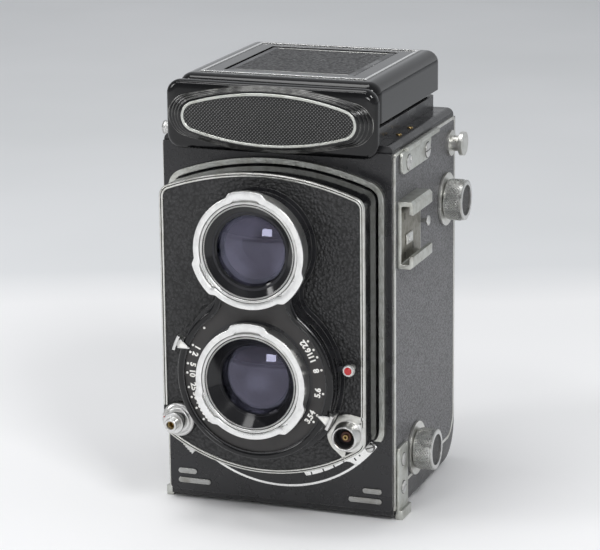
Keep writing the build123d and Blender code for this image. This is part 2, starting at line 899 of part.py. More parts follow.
with BuildPart() as crank_grip:
    with BuildSketch(side(arm_x - 2.3)):
        with Locations((at(crank_grip_depth), crank_grip_z)):
            Circle(2.2)
            Circle(1.06, mode=Mode.SUBTRACT)
    extrude(amount=-(crank_reach - 4.8 + 0.6))
    with BuildSketch(side(-half_width - crank_reach)):
        with Locations((at(crank_grip_depth), crank_grip_z)):
            Circle(2.2)
    extrude(amount=-0.6)
save(crank_grip, "crank_grip")

# ---------------------------------------------------------------- lens board
board_front_y = at(-board_depth_front)
board_back_y = at(-board_depth_back)
leather_height = 0.45
rim_strip = 1.3
release_x = -boss_x
release_z = boss_z
release_bore = 2.75
release_travel = 2.0
sync_x = boss_x
sync_z = boss_z
with BuildPart() as lens_board:
    with BuildSketch(facing(board_back_y)):
        add(board_outline())
    extrude(amount=board_depth_front - board_depth_back)
    with BuildSketch(facing(board_back_y)):
        add(board_outline(-board_wall))
    extrude(amount=board_depth_front - board_depth_back - board_plate, mode=Mode.SUBTRACT)
    with BuildSketch(facing(board_front_y + board_plate)):
        with Locations((0, taking_z), (0, viewing_z)):
            Circle(tube_radius + 0.03)
        with Locations((release_x, release_z)):
            Circle(release_bore)
    extrude(amount=board_plate, mode=Mode.SUBTRACT)
    # Raised rim strip, broken by the release and the flash socket
    with BuildSketch(facing(board_front_y)):
        add(board_outline())
        add(board_outline(-rim_strip), mode=Mode.SUBTRACT)
        with Locations((release_x, release_z), (sync_x, sync_z)):
            Circle(boss_radius + 0.1, mode=Mode.SUBTRACT)
    extrude(amount=0.7)
save(lens_board, "lens_board")

selftimer_angle = 10.2
selftimer_root = groove_radius + 0.6
selftimer_reach = housing_radius + 5.2
with BuildPart() as board_leather:
    with BuildSketch(facing(board_front_y)):
        add(board_outline(-rim_strip - 0.05))
        add(figure_eight(1.6), mode=Mode.SUBTRACT)
        with Locations((release_x, release_z), (sync_x, sync_z)):
            Circle(boss_radius + 0.15, mode=Mode.SUBTRACT)
    extrude(amount=leather_height)
save(board_leather, "board_leather")

# Shutter housing: base plate, figure-eight drum, raised rim and a sunk scale field
housing_front_y = board_front_y - housing_height
base_flange = 0.8
lever_groove_back = 3.2
lever_groove = 1.6
timer_groove_back = 6.0
with BuildPart() as shutter_housing:
    with BuildSketch(facing(board_front_y)):
        add(figure_eight(1.5))
    extrude(amount=base_flange)
    with BuildSketch(facing(board_front_y - base_flange)):
        add(figure_eight())
    extrude(amount=housing_height - base_flange)
    crest = shutter_housing.faces().sort_by(Axis.Y)[0].outer_wire().edges()
    fillet(crest, 0.6)
    with BuildSketch(facing(housing_front_y)):
        add(figure_eight(-housing_rim))
    extrude(amount=-scale_recess, mode=Mode.SUBTRACT)
    with BuildSketch(facing(board_front_y)):
        with Locations((0, taking_z), (0, viewing_z)):
            Circle(tube_radius + 0.03)
    extrude(amount=housing_height + 1, mode=Mode.SUBTRACT)
    with BuildSketch(facing(housing_front_y + scale_recess)):
        with Locations((0, viewing_z)):
            Circle(bayonet_radius + 0.05)
    extrude(amount=scale_recess, mode=Mode.SUBTRACT)
    # Slots for the speed and aperture levers, and for the self-timer lever
    for start, end, back in (
        (138, 228, lever_groove_back),
        (-36, 47, lever_groove_back),
        (-32, 18, timer_groove_back),
    ):
        with BuildSketch(facing(housing_front_y + back)):
            with Locations((0, taking_z)):
                add(ring_sector(groove_radius, housing_radius + 2, start, end))
        extrude(amount=lever_groove, mode=Mode.SUBTRACT)
save(shutter_housing, "shutter_housing")


def swing_lever(name, angle, handle_span):
    """Lever that runs in its slot, with a hook over the rim that ends in a pointer."""
    plate_back = housing_front_y + lever_groove_back - 0.4
    with BuildPart() as lever:
        with BuildSketch(facing(plate_back)):
            with Locations((0, taking_z)):
                add(ring_sector(groove_radius + 0.4, housing_radius + 1.9, angle - 5, angle + 5))
        extrude(amount=0.8)
        with BuildSketch(facing(plate_back)):
            with Locations((0, taking_z)):
                add(
                    ring_sector(
                        housing_radius + 1.1,
                        housing_radius + 2.3,
                        angle - handle_span / 2,
                        angle + handle_span / 2,
                    )
                )
        extrude(amount=4.6)
        with BuildSketch(mode=Mode.PRIVATE) as pointer:
            with BuildLine():
                Polyline(
                    (housing_radius + 1.2, -2.6),
                    (housing_radius + 1.2, 2.6),
                    (groove_radius + 0.2, 0),
                    close=True,
                )
            make_face()
        with BuildSketch(facing(housing_front_y - 0.4)):
            with Locations((0, taking_z)):
                add(pointer.sketch, rotation=angle)
        extrude(amount=0.7)
    save(lever, name)


speed_angle = 158.0
aperture_angle = -23.8
swing_lever("speed_lever", speed_angle, 15)
swing_lever("aperture_lever", aperture_angle, 15)

with BuildPart() as selftimer_lever:
    timer_back = housing_front_y + timer_groove_back - 0.4
    with BuildSketch(facing(timer_back)):
        with Locations(Location((0, taking_z), selftimer_angle)):
            with Locations(((selftimer_root + selftimer_reach) / 2, 0)):
                Rectangle(selftimer_reach - selftimer_root, 2.4)
            with Locations((selftimer_reach, 0)):
                Circle(1.9)
    extrude(amount=0.8)
    with BuildSketch(facing(timer_back - 0.8)):
        with Locations(Location((0, taking_z), selftimer_angle)):
            with Locations((selftimer_reach, 0)):
                Circle(1.9)
    extrude(amount=4.0)
    with BuildSketch(facing(timer_back - 4.8)):
        with Locations(Location((0, taking_z), selftimer_angle)):
            with Locations((selftimer_reach, 0)):
                Circle(1.15)
    extrude(amount=0.3)
save(selftimer_lever, "selftimer_lever")

# Release: knurled collar on a boss, with the plunger and its cable socket inside
collar_height = 3.5
with BuildPart() as release_collar:
    with BuildSketch(facing(board_front_y)):
        with Locations((release_x, release_z)):
            Circle(boss_radius)
            Circle(release_bore, mode=Mode.SUBTRACT)
    extrude(amount=collar_height)
    collar_edge = release_collar.faces().sort_by(Axis.Y)[0].outer_wire().edges()
    chamfer(collar_edge, 0.5)
save(release_collar, "release_collar")

washer_y = board_front_y - collar_height - release_travel - 0.3
plunger_tip = washer_y - 3.2
with BuildPart() as release_button:
    with BuildSketch(facing(board_front_y + board_plate)):
        with Locations((release_x, release_z)):
            Circle(2.7)
    extrude(amount=board_front_y + board_plate - washer_y)
    with BuildSketch(facing(washer_y)):
        with Locations((release_x, release_z)):
            Circle(3.5)
    extrude(amount=0.7)
    with BuildSketch(facing(washer_y - 0.7)):
        with Locations((release_x, release_z)):
            Circle(2.1)
    extrude(amount=washer_y - 0.7 - plunger_tip)
    with BuildSketch(facing(plunger_tip)):
        with Locations((release_x, release_z)):
            Circle(1.25)
    extrude(amount=-4.0, mode=Mode.SUBTRACT)
save(release_button, "release_button")

with BuildPart() as sync_socket:
    with BuildSketch(facing(board_front_y)):
        with Locations((sync_x, sync_z)):
            Circle(boss_radius)
    extrude(amount=1.8)
    with BuildSketch(facing(board_front_y - 1.8)):
        with Locations((sync_x, sync_z)):
            Circle(4.0)
            Circle(2.6, mode=Mode.SUBTRACT)
    extrude(amount=3.2)
    with BuildSketch(facing(board_front_y - 1.8)):
        with Locations((sync_x, sync_z)):
            Circle(1.0)
    extrude(amount=2.0)
save(sync_socket, "sync_socket")

# ---------------------------------------------------------------- lenses
flange_front_y = at(-bayonet_front)
flange_back_y = flange_front_y + bayonet_thickness


def lobed_disc(radius, lobe_radius, half_span):
    """Disc with three lobes whose shoulders run out smoothly."""
    with BuildSketch(mode=Mode.PRIVATE) as disc:
        Circle(radius)
        for middle in (90, 210, 330):
            add(ring_sector(radius - 3, lobe_radius, middle - half_span, middle + half_span))
        corners = disc.vertices().filter_by(lambda v: hypot(v.X, v.Y) > radius - 0.1)
        fillet(corners, 0.65)
    return disc.sketch


def bayonet(name, z, collar):
    """Filter ring: three outward lobes over three bayonet slots, and a foot of `collar` radius."""
    with BuildPart() as ring:
        with BuildSketch(facing(flange_back_y)):
            with Locations((0, z)):
                add(lobed_disc(bayonet_radius, bayonet_lobe_radius, 17))
                Circle(bayonet_bore, mode=Mode.SUBTRACT)
                for middle in (90, 210, 330):
                    add(
                        ring_sector(bayonet_bore - 1, bayonet_bore + 0.9, middle - 15, middle + 15),
                        mode=Mode.SUBTRACT,
                    )
        extrude(amount=bayonet_thickness)
        with BuildSketch(facing(housing_front_y + scale_recess)):
            with Locations((0, z)):
                Circle(bayonet_radius)
                Circle(bayonet_bore, mode=Mode.SUBTRACT)
        extrude(amount=housing_front_y + scale_recess - flange_back_y)
        if collar:
            with BuildSketch(facing(housing_front_y + scale_recess)):
                with Locations((0, z)):
                    Circle(collar)
                    Circle(bayonet_radius - 0.5, mode=Mode.SUBTRACT)
            extrude(amount=scale_recess + 2.0)
    save(ring, name)


def lens_barrel(name, z, recess):
    """Tube that slides in the body, with its glass seat and conical front ring."""
    glass_back = housing_front_y + recess + 2.6
    back = housing_front_y + recess
    front = flange_front_y + 0.4
    step = min(back, housing_front_y + scale_recess) - 0.05
    with BuildPart() as barrel:
        with BuildSketch(Plane.YZ):
            with BuildLine():
                Polyline(
                    (back, z + glass_radius - 0.4),
                    (back, z + tube_radius),
                    (step, z + tube_radius),
                    (step, z + bayonet_bore - 0.05),
                    (front, z + bayonet_bore - 0.05),
                    (front, z + name_ring_radius),
                    (back - 0.7, z + glass_radius - 0.4),
                    close=True,
                )
            make_face()
        revolve(axis=lens_axis(z))
        with BuildSketch(facing(at(10))):
            with Locations((0, z)):
                Circle(tube_radius)
                Circle(glass_radius - 1.5, mode=Mode.SUBTRACT)
        extrude(amount=at(10) - glass_back)
        with BuildSketch(facing(glass_back)):
            with Locations((0, z)):
                Circle(tube_radius)
                Circle(glass_radius + 0.03, mode=Mode.SUBTRACT)
        extrude(amount=2.6)
        with BuildSketch(facing(at(10))):
            with Locations((0, z)):
                Circle(glass_radius + 0.03)
        extrude(amount=3, mode=Mode.SUBTRACT)
    save(barrel, name)


def lens_glass(name, z, recess):
    """Convex front element and convex rear element."""
    edge_y = housing_front_y + recess
    rise = glass_radius - 0.5
    bulge = 2.0
    rear_bulge = 1.2
    with BuildPart() as glass:
        for edge, back, height, swell, way in (
            (edge_y + 0.1, edge_y + 2.5, rise, bulge + 0.1, -1),
            (at(8.2), at(7.4), rise, rear_bulge, 1),
        ):
            curve = (height**2 + swell**2) / (2 * swell)
            sag = curve - sqrt(curve**2 - height**2 / 4)
            crown = edge + way * swell
            with BuildSketch(Plane.YZ):
                with BuildLine():
                    Polyline(
                        (crown, z),
                        (back, z),
                        (back, z + glass_radius),
                        (edge, z + glass_radius),
                        (edge, z + height),
                    )
                    ThreePointArc((edge, z + height), (crown - way * sag, z + height / 2), (crown, z))
                make_face()
            revolve(axis=lens_axis(z))
    save(glass, name)


viewing_recess = -0.5
taking_recess = 1.5
for lens, z, recess in (("viewing", viewing_z, viewing_recess), ("taking", taking_z, taking_recess)):
    bayonet(f"{lens}_bayonet", z, taking_collar_radius if lens == "taking" else 0)
    lens_barrel(f"{lens}_barrel", z, recess)
    lens_glass(f"{lens}_glass", z, recess)

# Five shutter blades closed across the bore
blade_y = at(-15.5)
with BuildPart() as shutter_blades:
    with BuildSketch(facing(blade_y)):
        with Locations((0, taking_z)):
            Circle(glass_radius - 1.6)
    extrude(amount=0.4)
save(shutter_blades, "shutter_blades")

# ---------------------------------------------------------------- focusing lever
lever_start = -136.0
lever_thickness = 0.8
lever_back_y = front_y - scale_thickness - 0.3
lever_collar = tube_radius + 3.8
grip_radius = scale_radius + 2.4
with BuildPart() as focus_lever:
    with BuildSketch(facing(lever_back_y)):
        with Locations((0, taking_z)):
            Circle(lever_collar)
            add(
                ring_sector(
                    lever_collar - 0.5, grip_radius - 1.2, lever_start - 3.0, lever_start + 3.0
                )
            )
            Circle(tube_radius + 0.35, mode=Mode.SUBTRACT)
    extrude(amount=lever_thickness)
    with BuildSketch(facing(front_y - 0.3)):
        with Locations((0, taking_z)):
            add(ring_sector(scale_radius + 0.3, grip_radius, lever_start - 4.6, lever_start + 4.6))
            with PolarLocations(grip_radius, 7, lever_start - 3.9, 7.8, endpoint=True):
                Circle(0.25, mode=Mode.SUBTRACT)
    extrude(amount=2.9)
save(focus_lever, "focus_lever")

# ---------------------------------------------------------------- mirror and screen
with BuildPart() as reflex_mirror:
    low_y = mirror_low_z - seat_slope_z + 0.6
    high_y = mirror_back_y - 0.9
    with BuildSketch(side(-mirror_width / 2)):
        with BuildLine():
            Polyline(
                (low_y, low_y + seat_slope_z + 0.02),
                (high_y, high_y + seat_slope_z + 0.02),
                (high_y - mirror_thickness / sqrt(2), high_y + seat_slope_z + mirror_thickness / sqrt(2)),
                (low_y - mirror_thickness / sqrt(2), low_y + seat_slope_z + mirror_thickness / sqrt(2)),
                close=True,
            )
        make_face()
    extrude(amount=mirror_width)
save(reflex_mirror, "reflex_mirror")

with BuildPart() as ground_glass:
    with BuildSketch(Plane.XY.offset(deck_z)):
        with Locations((0, at(mirror_depth))):
            Rectangle(screen_size, screen_size)
    extrude(amount=screen_thickness)
save(ground_glass, "ground_glass")

base_middle_y = at((base_front + base_back) / 2)
side_axis_z = base_top_z + 0.7
back_axis_z = side_axis_z + 0.9
flap_barrel = 0.65
with BuildPart() as hood_base:
    with BuildSketch(Plane.XY.offset(deck_z)):
        with Locations((0, base_middle_y)):
            RectangleRounded(2 * base_half_width, base_back - base_front, 3.0)
        with Locations((0, at(mirror_depth))):
            Rectangle(screen_opening, screen_opening, mode=Mode.SUBTRACT)
    extrude(amount=base_top_z - deck_z)
    with BuildSketch(Plane.XY.offset(deck_z)):
        with Locations((0, at(mirror_depth))):
            Rectangle(screen_size + 0.2, screen_size + 0.2)
    extrude(amount=screen_thickness + 0.05, mode=Mode.SUBTRACT)
    # Ledge that carries the back flap
    with BuildSketch(Plane.XY.offset(base_top_z)):
        with Locations((0, at(back_flap_depth + 0.2))):
            Rectangle(back_flap_width - 4, 1.6)
    extrude(amount=back_axis_z - 0.7 - base_top_z)
save(hood_base, "hood_base")

for hand, sign in (("left", -1), ("right", 1)):
    with BuildPart() as side_flap:
        with BuildSketch(Plane.XY.offset(side_axis_z - flap_thickness / 2)):
            with BuildLine():
                Polyline(
                    (sign * side_flap_x, at(side_flap_front)),
                    (sign * side_flap_x, at(side_flap_back)),
                    (sign * (side_flap_x - side_flap_length), at(side_flap_back - side_flap_length)),
                    (sign * (side_flap_x - side_flap_length), at(side_flap_front + side_flap_lean)),
                    close=True,
                )
            make_face()
        extrude(amount=flap_thickness)
        with BuildSketch(facing(at(side_flap_back))):
            with Locations((sign * side_flap_x, side_axis_z)):
                Circle(flap_barrel)
        extrude(amount=side_flap_back - side_flap_front)
    save(side_flap, f"side_flap_{hand}")

with BuildPart() as back_flap:
    with BuildSketch(Plane.XY.offset(back_axis_z - flap_thickness / 2)):
        with BuildLine():
            Polyline(
                (-back_flap_width / 2, at(back_flap_depth)),
                (back_flap_width / 2, at(back_flap_depth)),
                (back_flap_width / 2 - 4, at(back_flap_depth - back_flap_length)),
                (4 - back_flap_width / 2, at(back_flap_depth - back_flap_length)),
                close=True,
            )
        make_face()
    extrude(amount=flap_thickness)
    with BuildSketch(side(-back_flap_width / 2)):
        with Locations((at(back_flap_depth), back_axis_z)):
            Circle(flap_barrel)
    extrude(amount=back_flap_width)
save(back_flap, "back_flap")

# ---------------------------------------------------------------- hood lid
lid_middle_y = at((hood_front + hood_back) / 2)
lid_wall_z = hood_top_z - 7.2
window_gap = 0.6
finder_middle_y = at((finder_front + finder_back) / 2)
finder_length = finder_back - finder_front
with BuildPart() as hood_lid:
    with BuildSketch(Plane.XY.offset(hood_bottom_z)):
        with Locations((0, lid_middle_y)):
            RectangleRounded(2 * hood_half_width, hood_back - hood_front, 4.2)
    extrude(amount=hood_top_z - hood_bottom_z)
    brow = hood_lid.faces().sort_by(Axis.Z)[-1].outer_wire().edges()
    fillet(brow, 4.0)
    under = hood_lid.faces().sort_by(Axis.Z)[0]
    offset(amount=-hood_wall, openings=under)
    with BuildSketch(Plane.XY.offset(hood_bottom_z)):
        with Locations((0, at(hood_front))):
            Rectangle(2 * (hood_half_width - hood_wall), 4 * hood_wall)
    extrude(amount=lid_wall_z - hood_bottom_z, mode=Mode.SUBTRACT)
    with BuildSketch(Plane.XY.offset(hood_top_z - 3)):
        with Locations((0, finder_middle_y)):
            Rectangle(2 * (finder_half_width + window_gap), finder_length + 2 * window_gap)
    extrude(amount=4, mode=Mode.SUBTRACT)
    for x in (-28.3, 19.9):
        with BuildSketch(side(x)):
            with Locations((at(lid_hinge_depth), lid_hinge_z)):
                Circle(lid_knuckle_radius + 0.3)
        extrude(amount=8.4, mode=Mode.SUBTRACT)
    with BuildSketch(side(-19.8)):
        with Locations((at(lid_hinge_depth), lid_hinge_z)):
            Circle(lid_knuckle_radius)
        with Locations((at(lid_hinge_depth), lid_hinge_z)):
            Rectangle(1.6, lid_knuckle_radius, align=(Align.MIN, Align.MAX))
        with Locations((at(lid_hinge_depth), lid_hinge_z)):
            Circle(0.65, mode=Mode.SUBTRACT)
    extrude(amount=39.6)
save(hood_lid, "hood_lid")

lid_line_middle_y = at((lid_line_front + lid_line_back) / 2)
with BuildPart() as lid_trim:
    with BuildSketch(Plane.XY.offset(hood_top_z)):
        with Locations((0, lid_line_middle_y)):
            Rectangle(2 * lid_line_half, lid_line_back - lid_line_front)
            Rectangle(
                2 * lid_line_half - 1.8, lid_line_back - lid_line_front - 1.8, mode=Mode.SUBTRACT
            )
    extrude(amount=0.25)
save(lid_trim, "lid_trim")

finder_top_z = hood_top_z - 0.2
with BuildPart() as finder_flap:
    with BuildSketch(Plane.XY.offset(finder_top_z - 1.5)):
        with Locations((0, finder_middle_y)):
            Rectangle(2 * finder_half_width, finder_length)
    extrude(amount=1.5)
    fillet(finder_flap.faces().sort_by(Axis.Z)[-1].outer_wire().edges(), 0.4)
    with BuildSketch(Plane.XY.offset(hood_top_z - hood_wall)):
        with Locations((0, finder_middle_y)):
            Rectangle(2 * finder_half_width + 3.2, finder_length + 3.2)
    extrude(amount=-0.8)
    with BuildSketch(Plane.XY.offset(finder_top_z)):
        with Locations((0, finder_middle_y)):
            Rectangle(2 * finder_half_width - 4.4, finder_length - 4.4)
    extrude(amount=-0.4, mode=Mode.SUBTRACT)
save(finder_flap, "finder_flap")

with BuildPart() as finder_leather:
    with BuildSketch(Plane.XY.offset(finder_top_z - 0.4)):
        with Locations((0, finder_middle_y)):
            Rectangle(2 * finder_half_width - 4.5, finder_length - 4.5)
    extrude(amount=0.35)
save(finder_leather, "finder_leather")

magnifier_radius = 13.5
magnifier_z = hood_top_z - 5.2
with BuildPart() as magnifier_frame:
    with BuildSketch(Plane.XY.offset(magnifier_z)):
        with Locations((0, finder_middle_y)):
            RectangleRounded(51, 48, 2)
            Circle(magnifier_radius, mode=Mode.SUBTRACT)
    extrude(amount=0.9)
    with BuildSketch(Plane.XY.offset(magnifier_z - 1.6)):
        with Locations((0, finder_middle_y)):
            Circle(magnifier_radius + 1.4)
            Circle(magnifier_radius, mode=Mode.SUBTRACT)
    extrude(amount=2.5)
    for sign in (-1, 1):
        with BuildSketch(Plane.XY.offset(magnifier_z + 0.9)):
            with Locations((sign * 24.4, finder_middle_y)):
                Rectangle(1.4, 40)
        extrude(amount=hood_top_z - hood_wall - magnifier_z - 0.9)
save(magnifier_frame, "magnifier_frame")

with BuildPart() as magnifier_lens:
    with BuildSketch(Plane.YZ):
        rim_r = magnifier_radius - 0.03
        lens_curve = (rim_r**2 + 1.6**2) / 3.2
        lens_sag = lens_curve - sqrt(lens_curve**2 - rim_r**2 / 4)
        with BuildLine():
            Polyline(
                (finder_middle_y, magnifier_z - 1.2),
                (finder_middle_y + rim_r, magnifier_z - 1.2),
                (finder_middle_y + rim_r, magnifier_z - 0.4),
            )
            ThreePointArc(
                (finder_middle_y + rim_r, magnifier_z - 0.4),
                (finder_middle_y + rim_r / 2, magnifier_z + 1.2 - lens_sag),
                (finder_middle_y, magnifier_z + 1.2),
            )
            Line((finder_middle_y, magnifier_z + 1.2), (finder_middle_y, magnifier_z - 1.2))
        make_face()
    revolve(axis=Axis((0, finder_middle_y, 0), (0, 0, 1)))
save(magnifier_lens, "magnifier_lens")

with BuildPart() as hinge_pins:
    with BuildSketch(side(-28)):
        with Locations((at(lid_hinge_depth), lid_hinge_z)):
            Circle(0.6)
    extrude(amount=56)
    with BuildSketch(side(-21)):
        with Locations((at(door_hinge_depth), door_hinge_z)):
            Circle(0.7)
    extrude(amount=42)
save(hinge_pins, "hinge_pins")

# ---------------------------------------------------------------- back door
door_front_y = toe_y + door_seam
door_rear_y = at(door_outer)
flange_y = at(door_flange_back)
bend_y = rear_y - corner_radius
bend_z = side_bottom_z + corner_radius
flange_radius = corner_radius + door_seam
inner_radius = door_radius - door_thickness
with BuildPart() as back_door:
    with BuildSketch(side(-door_half_width)):
        with BuildLine():
            Line((door_front_y, 0), (door_rear_y - door_radius, 0))
            RadiusArc(
                (door_rear_y - door_radius, 0), (door_rear_y, door_radius), -door_radius
            )
            Polyline(
                (door_rear_y, door_radius),
                (door_rear_y, door_top_z),
                (flange_y, door_top_z),
                (flange_y, bend_z),
            )
            RadiusArc(
                (flange_y, bend_z), (bend_y, bend_z - flange_radius), flange_radius
            )
            Polyline(
                (bend_y, bend_z - flange_radius),
                (door_front_y, bend_z - flange_radius),
                (door_front_y, 0),
            )
        make_face()
    extrude(amount=2 * door_half_width)
    skin_edges = (
        back_door.edges()
        .filter_by(lambda e: abs(abs(e.center().X) - door_half_width) < 0.01)
        .filter_by(lambda e: e.center().Z < 0.1 or e.center().Y > door_rear_y - 0.1
                   or (e.geom_type == GeomType.CIRCLE and e.radius > door_radius - 0.1))
    )
    fillet(skin_edges, 1.2)
    inside_y = door_rear_y - door_thickness
    with BuildSketch(side(-door_half_width + door_thickness)):
        with BuildLine():
            Line(
                (door_front_y + door_thickness, door_thickness),
                (inside_y - inner_radius, door_thickness),
            )
            RadiusArc(
                (inside_y - inner_radius, door_thickness),
                (inside_y, door_thickness + inner_radius),
                -inner_radius,
            )
            Polyline(
                (inside_y, door_thickness + inner_radius),
                (inside_y, door_top_z - door_thickness),
                (flange_y - 0.5, door_top_z - door_thickness),
                (flange_y - 0.5, bend_z),
                (bend_y, bend_z - flange_radius + 0.5),
                (door_front_y + door_thickness, bend_z - flange_radius + 0.5),
                (door_front_y + door_thickness, door_thickness),
            )
        make_face()
    extrude(amount=2 * (door_half_width - door_thickness), mode=Mode.SUBTRACT)
    with BuildSketch(Plane.XY):
        Circle(tripod_bush_radius + 0.02)
        with Locations((0, at(19.6))):
            Rectangle(6.6, 8.4)
    extrude(amount=door_thickness, mode=Mode.SUBTRACT)
    with BuildSketch(facing(door_front_y + door_thickness)):
        with Locations((0, bolt_z)):
            Rectangle(bolt_width + 0.4, bolt_thickness + 0.3)
    extrude(amount=door_thickness, mode=Mode.SUBTRACT)
    with BuildSketch(side(-12)):
        with Locations((at(door_hinge_depth), door_hinge_z)):
            Circle(door_knuckle_radius)
        with Locations((at(door_hinge_depth), door_top_z - 0.8)):
            Rectangle(2.6, door_hinge_z - door_top_z + 0.8, align=(Align.CENTER, Align.MIN))
        with Locations((at(door_hinge_depth), door_hinge_z)):
            Circle(0.75, mode=Mode.SUBTRACT)
    extrude(amount=24)
    for x in (8.1 - door_half_width, door_half_width - 8.1):
        with BuildSketch(Plane.XY):
            with Locations((x, door_rear_y - door_radius - 3.9)):
                Circle(3.4)
        extrude(amount=-foot_drop)
save(back_door, "back_door")

with BuildPart() as door_leather:
    with BuildSketch(facing(door_rear_y)):
        with Locations((0, (door_radius + door_top_z) / 2)):
            RectangleRounded(2 * door_half_width - 4.4, door_top_z - door_radius - 5, 3)
    extrude(amount=-0.4)
save(door_leather, "door_leather")

with BuildPart() as tripod_socket:
    with BuildSketch(Plane.XY):
        Circle(tripod_bush_radius)
    extrude(amount=tripod_depth + 0.8)
    with BuildSketch(Plane.XY):
        Circle(tripod_radius)
    extrude(amount=tripod_depth, mode=Mode.SUBTRACT)
save(tripod_socket, "tripod_socket")

bolt_tip = toe_depth + door_seam + 0.4
with BuildPart() as door_bolt:
    with BuildSketch(Plane.XY.offset(bolt_z - bolt_thickness / 2)):
        with Locations((0, at(bolt_tip))):
            Rectangle(bolt_width, 10.5, align=(Align.CENTER, Align.MIN))
    extrude(amount=bolt_thickness)
    with BuildSketch(Plane.XY.offset(-0.9)):
        with Locations((0, at(20.6))):
            Rectangle(6.0, 5.4)
    extrude(amount=bolt_z - bolt_thickness / 2 + 0.9)
    with BuildSketch(Plane.XY.offset(-0.9)):
        with Locations((0, at(20.6))):
            RectangleRounded(11, 6.4, 1.5)
    extrude(amount=0.8)
save(door_bolt, "door_bolt")

plate_front = gate_depth + 0.4
plate_travel = 0.5
plate_thick = 1.2
with BuildPart() as pressure_plate:
    with BuildSketch(facing(at(plate_front + plate_thick))):
        with Locations((0, taking_z - 2)):
            RectangleRounded(image_size + 4, image_size + 1, 2)
    extrude(amount=plate_thick)
save(pressure_plate, "pressure_plate")

with BuildPart() as pressure_springs:
    bow_back = inside_y - 0.02
    bow_front = at(plate_front + plate_thick) + plate_travel + 0.05
    for x in (-16, 16):
        with BuildSketch(side(x - 3)):
            with BuildLine():
                ThreePointArc(
                    (bow_back, taking_z - 18.0),
                    (bow_front + 0.4, taking_z - 2),
                    (bow_back, taking_z + 14.0),
                )
                Line((bow_back, taking_z + 14.0), (bow_back, taking_z + 14.6))
                ThreePointArc(
                    (bow_back, taking_z + 14.6),
                    (bow_front, taking_z - 2),
                    (bow_back, taking_z - 18.6),
                )
                Line((bow_back, taking_z - 18.6), (bow_back, taking_z - 18.0))
            make_face()
        extrude(amount=6)
save(pressure_springs, "pressure_springs")
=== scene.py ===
"""Dresses a packed twin lens reflex camera: finishes, knurls, screws, dials, lenses and stage."""

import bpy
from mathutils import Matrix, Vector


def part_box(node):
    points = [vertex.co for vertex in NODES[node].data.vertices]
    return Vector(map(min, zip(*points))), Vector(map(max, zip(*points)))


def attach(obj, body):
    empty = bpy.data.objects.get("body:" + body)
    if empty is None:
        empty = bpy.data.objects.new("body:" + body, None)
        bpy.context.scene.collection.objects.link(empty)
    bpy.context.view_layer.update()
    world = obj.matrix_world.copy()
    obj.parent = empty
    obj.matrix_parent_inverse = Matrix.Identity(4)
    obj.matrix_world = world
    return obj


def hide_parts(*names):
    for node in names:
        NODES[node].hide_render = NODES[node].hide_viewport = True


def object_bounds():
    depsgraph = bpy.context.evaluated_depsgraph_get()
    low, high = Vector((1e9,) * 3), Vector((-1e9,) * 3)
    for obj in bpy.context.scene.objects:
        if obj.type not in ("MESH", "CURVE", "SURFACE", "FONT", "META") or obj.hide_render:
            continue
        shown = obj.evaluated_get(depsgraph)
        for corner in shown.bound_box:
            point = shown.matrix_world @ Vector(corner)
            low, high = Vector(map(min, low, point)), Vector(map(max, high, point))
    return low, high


bl_info = {
    "name": "Twin Lens Camera Dressing",
    "version": (1, 0, 0),
    "blender": (4, 5, 0),
    "location": "View3D > Sidebar > Camera",
    "description": "Finishes and fine parts for a twin lens reflex camera",
    "category": "Object",
}

from math import atan2, cos, degrees, hypot, pi, radians, sin, sqrt

import bmesh
import bpy
from bpy.props import FloatProperty, FloatVectorProperty, IntProperty, PointerProperty
from mathutils import Matrix, Vector

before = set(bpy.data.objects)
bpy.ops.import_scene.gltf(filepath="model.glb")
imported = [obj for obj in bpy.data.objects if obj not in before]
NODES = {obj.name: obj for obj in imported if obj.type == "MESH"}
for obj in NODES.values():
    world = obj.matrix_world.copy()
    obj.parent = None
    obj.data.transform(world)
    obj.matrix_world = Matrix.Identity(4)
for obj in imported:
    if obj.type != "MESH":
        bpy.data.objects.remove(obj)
CAD_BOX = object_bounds()

# Places on the camera are in millimetres. Depth is counted ahead of the body's front face.
MM = 0.001
FRONT_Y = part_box("front_panel")[0].y / MM
TAKING_Z = 48.6
VIEWING_Z = 90.6
DRUM_RADIUS = 26.0
BOSS_X, BOSS_Z = 28.4, 31.2  # the flash socket; the release is at -BOSS_X
BADGE_Z = 128.3
SIDE_X = 38.75  # face of the leather on either side
FIELD = 21.3  # depth of the sunk field of the dial
SLOT_FLOOR = 0.45  # height of a screw slot's floor, as a share of the head's height


# ---------------------------------------------------------------- user settings
class FinishSettings(bpy.types.PropertyGroup):
    leather_colour: FloatVectorProperty(
        name="Leather", description="Colour of the grained covering",
        subtype="COLOR", default=(0.019, 0.019, 0.020), min=0, max=1,
    )
    paint_colour: FloatVectorProperty(
        name="Black enamel", description="Colour of the gloss and satin black paint",
        subtype="COLOR", default=(0.0075, 0.0075, 0.0085), min=0, max=1,
    )
    chrome_colour: FloatVectorProperty(
        name="Chrome", description="Colour of the plated parts",
        subtype="COLOR", default=(0.80, 0.80, 0.79), min=0, max=1,
    )
    alloy_colour: FloatVectorProperty(
        name="Alloy", description="Colour of the satin alloy trim",
        subtype="COLOR", default=(0.52, 0.53, 0.50), min=0, max=1,
    )
    timer_colour: FloatVectorProperty(
        name="Self-timer dot", description="Enamel in the head of the self-timer lever",
        subtype="COLOR", default=(0.55, 0.006, 0.010), min=0, max=1,
    )
    grain_size: FloatProperty(
        name="Grain", description="Size of a pebble of the leather grain",
        subtype="DISTANCE", default=0.00098, min=0.0002, max=0.005,
    )


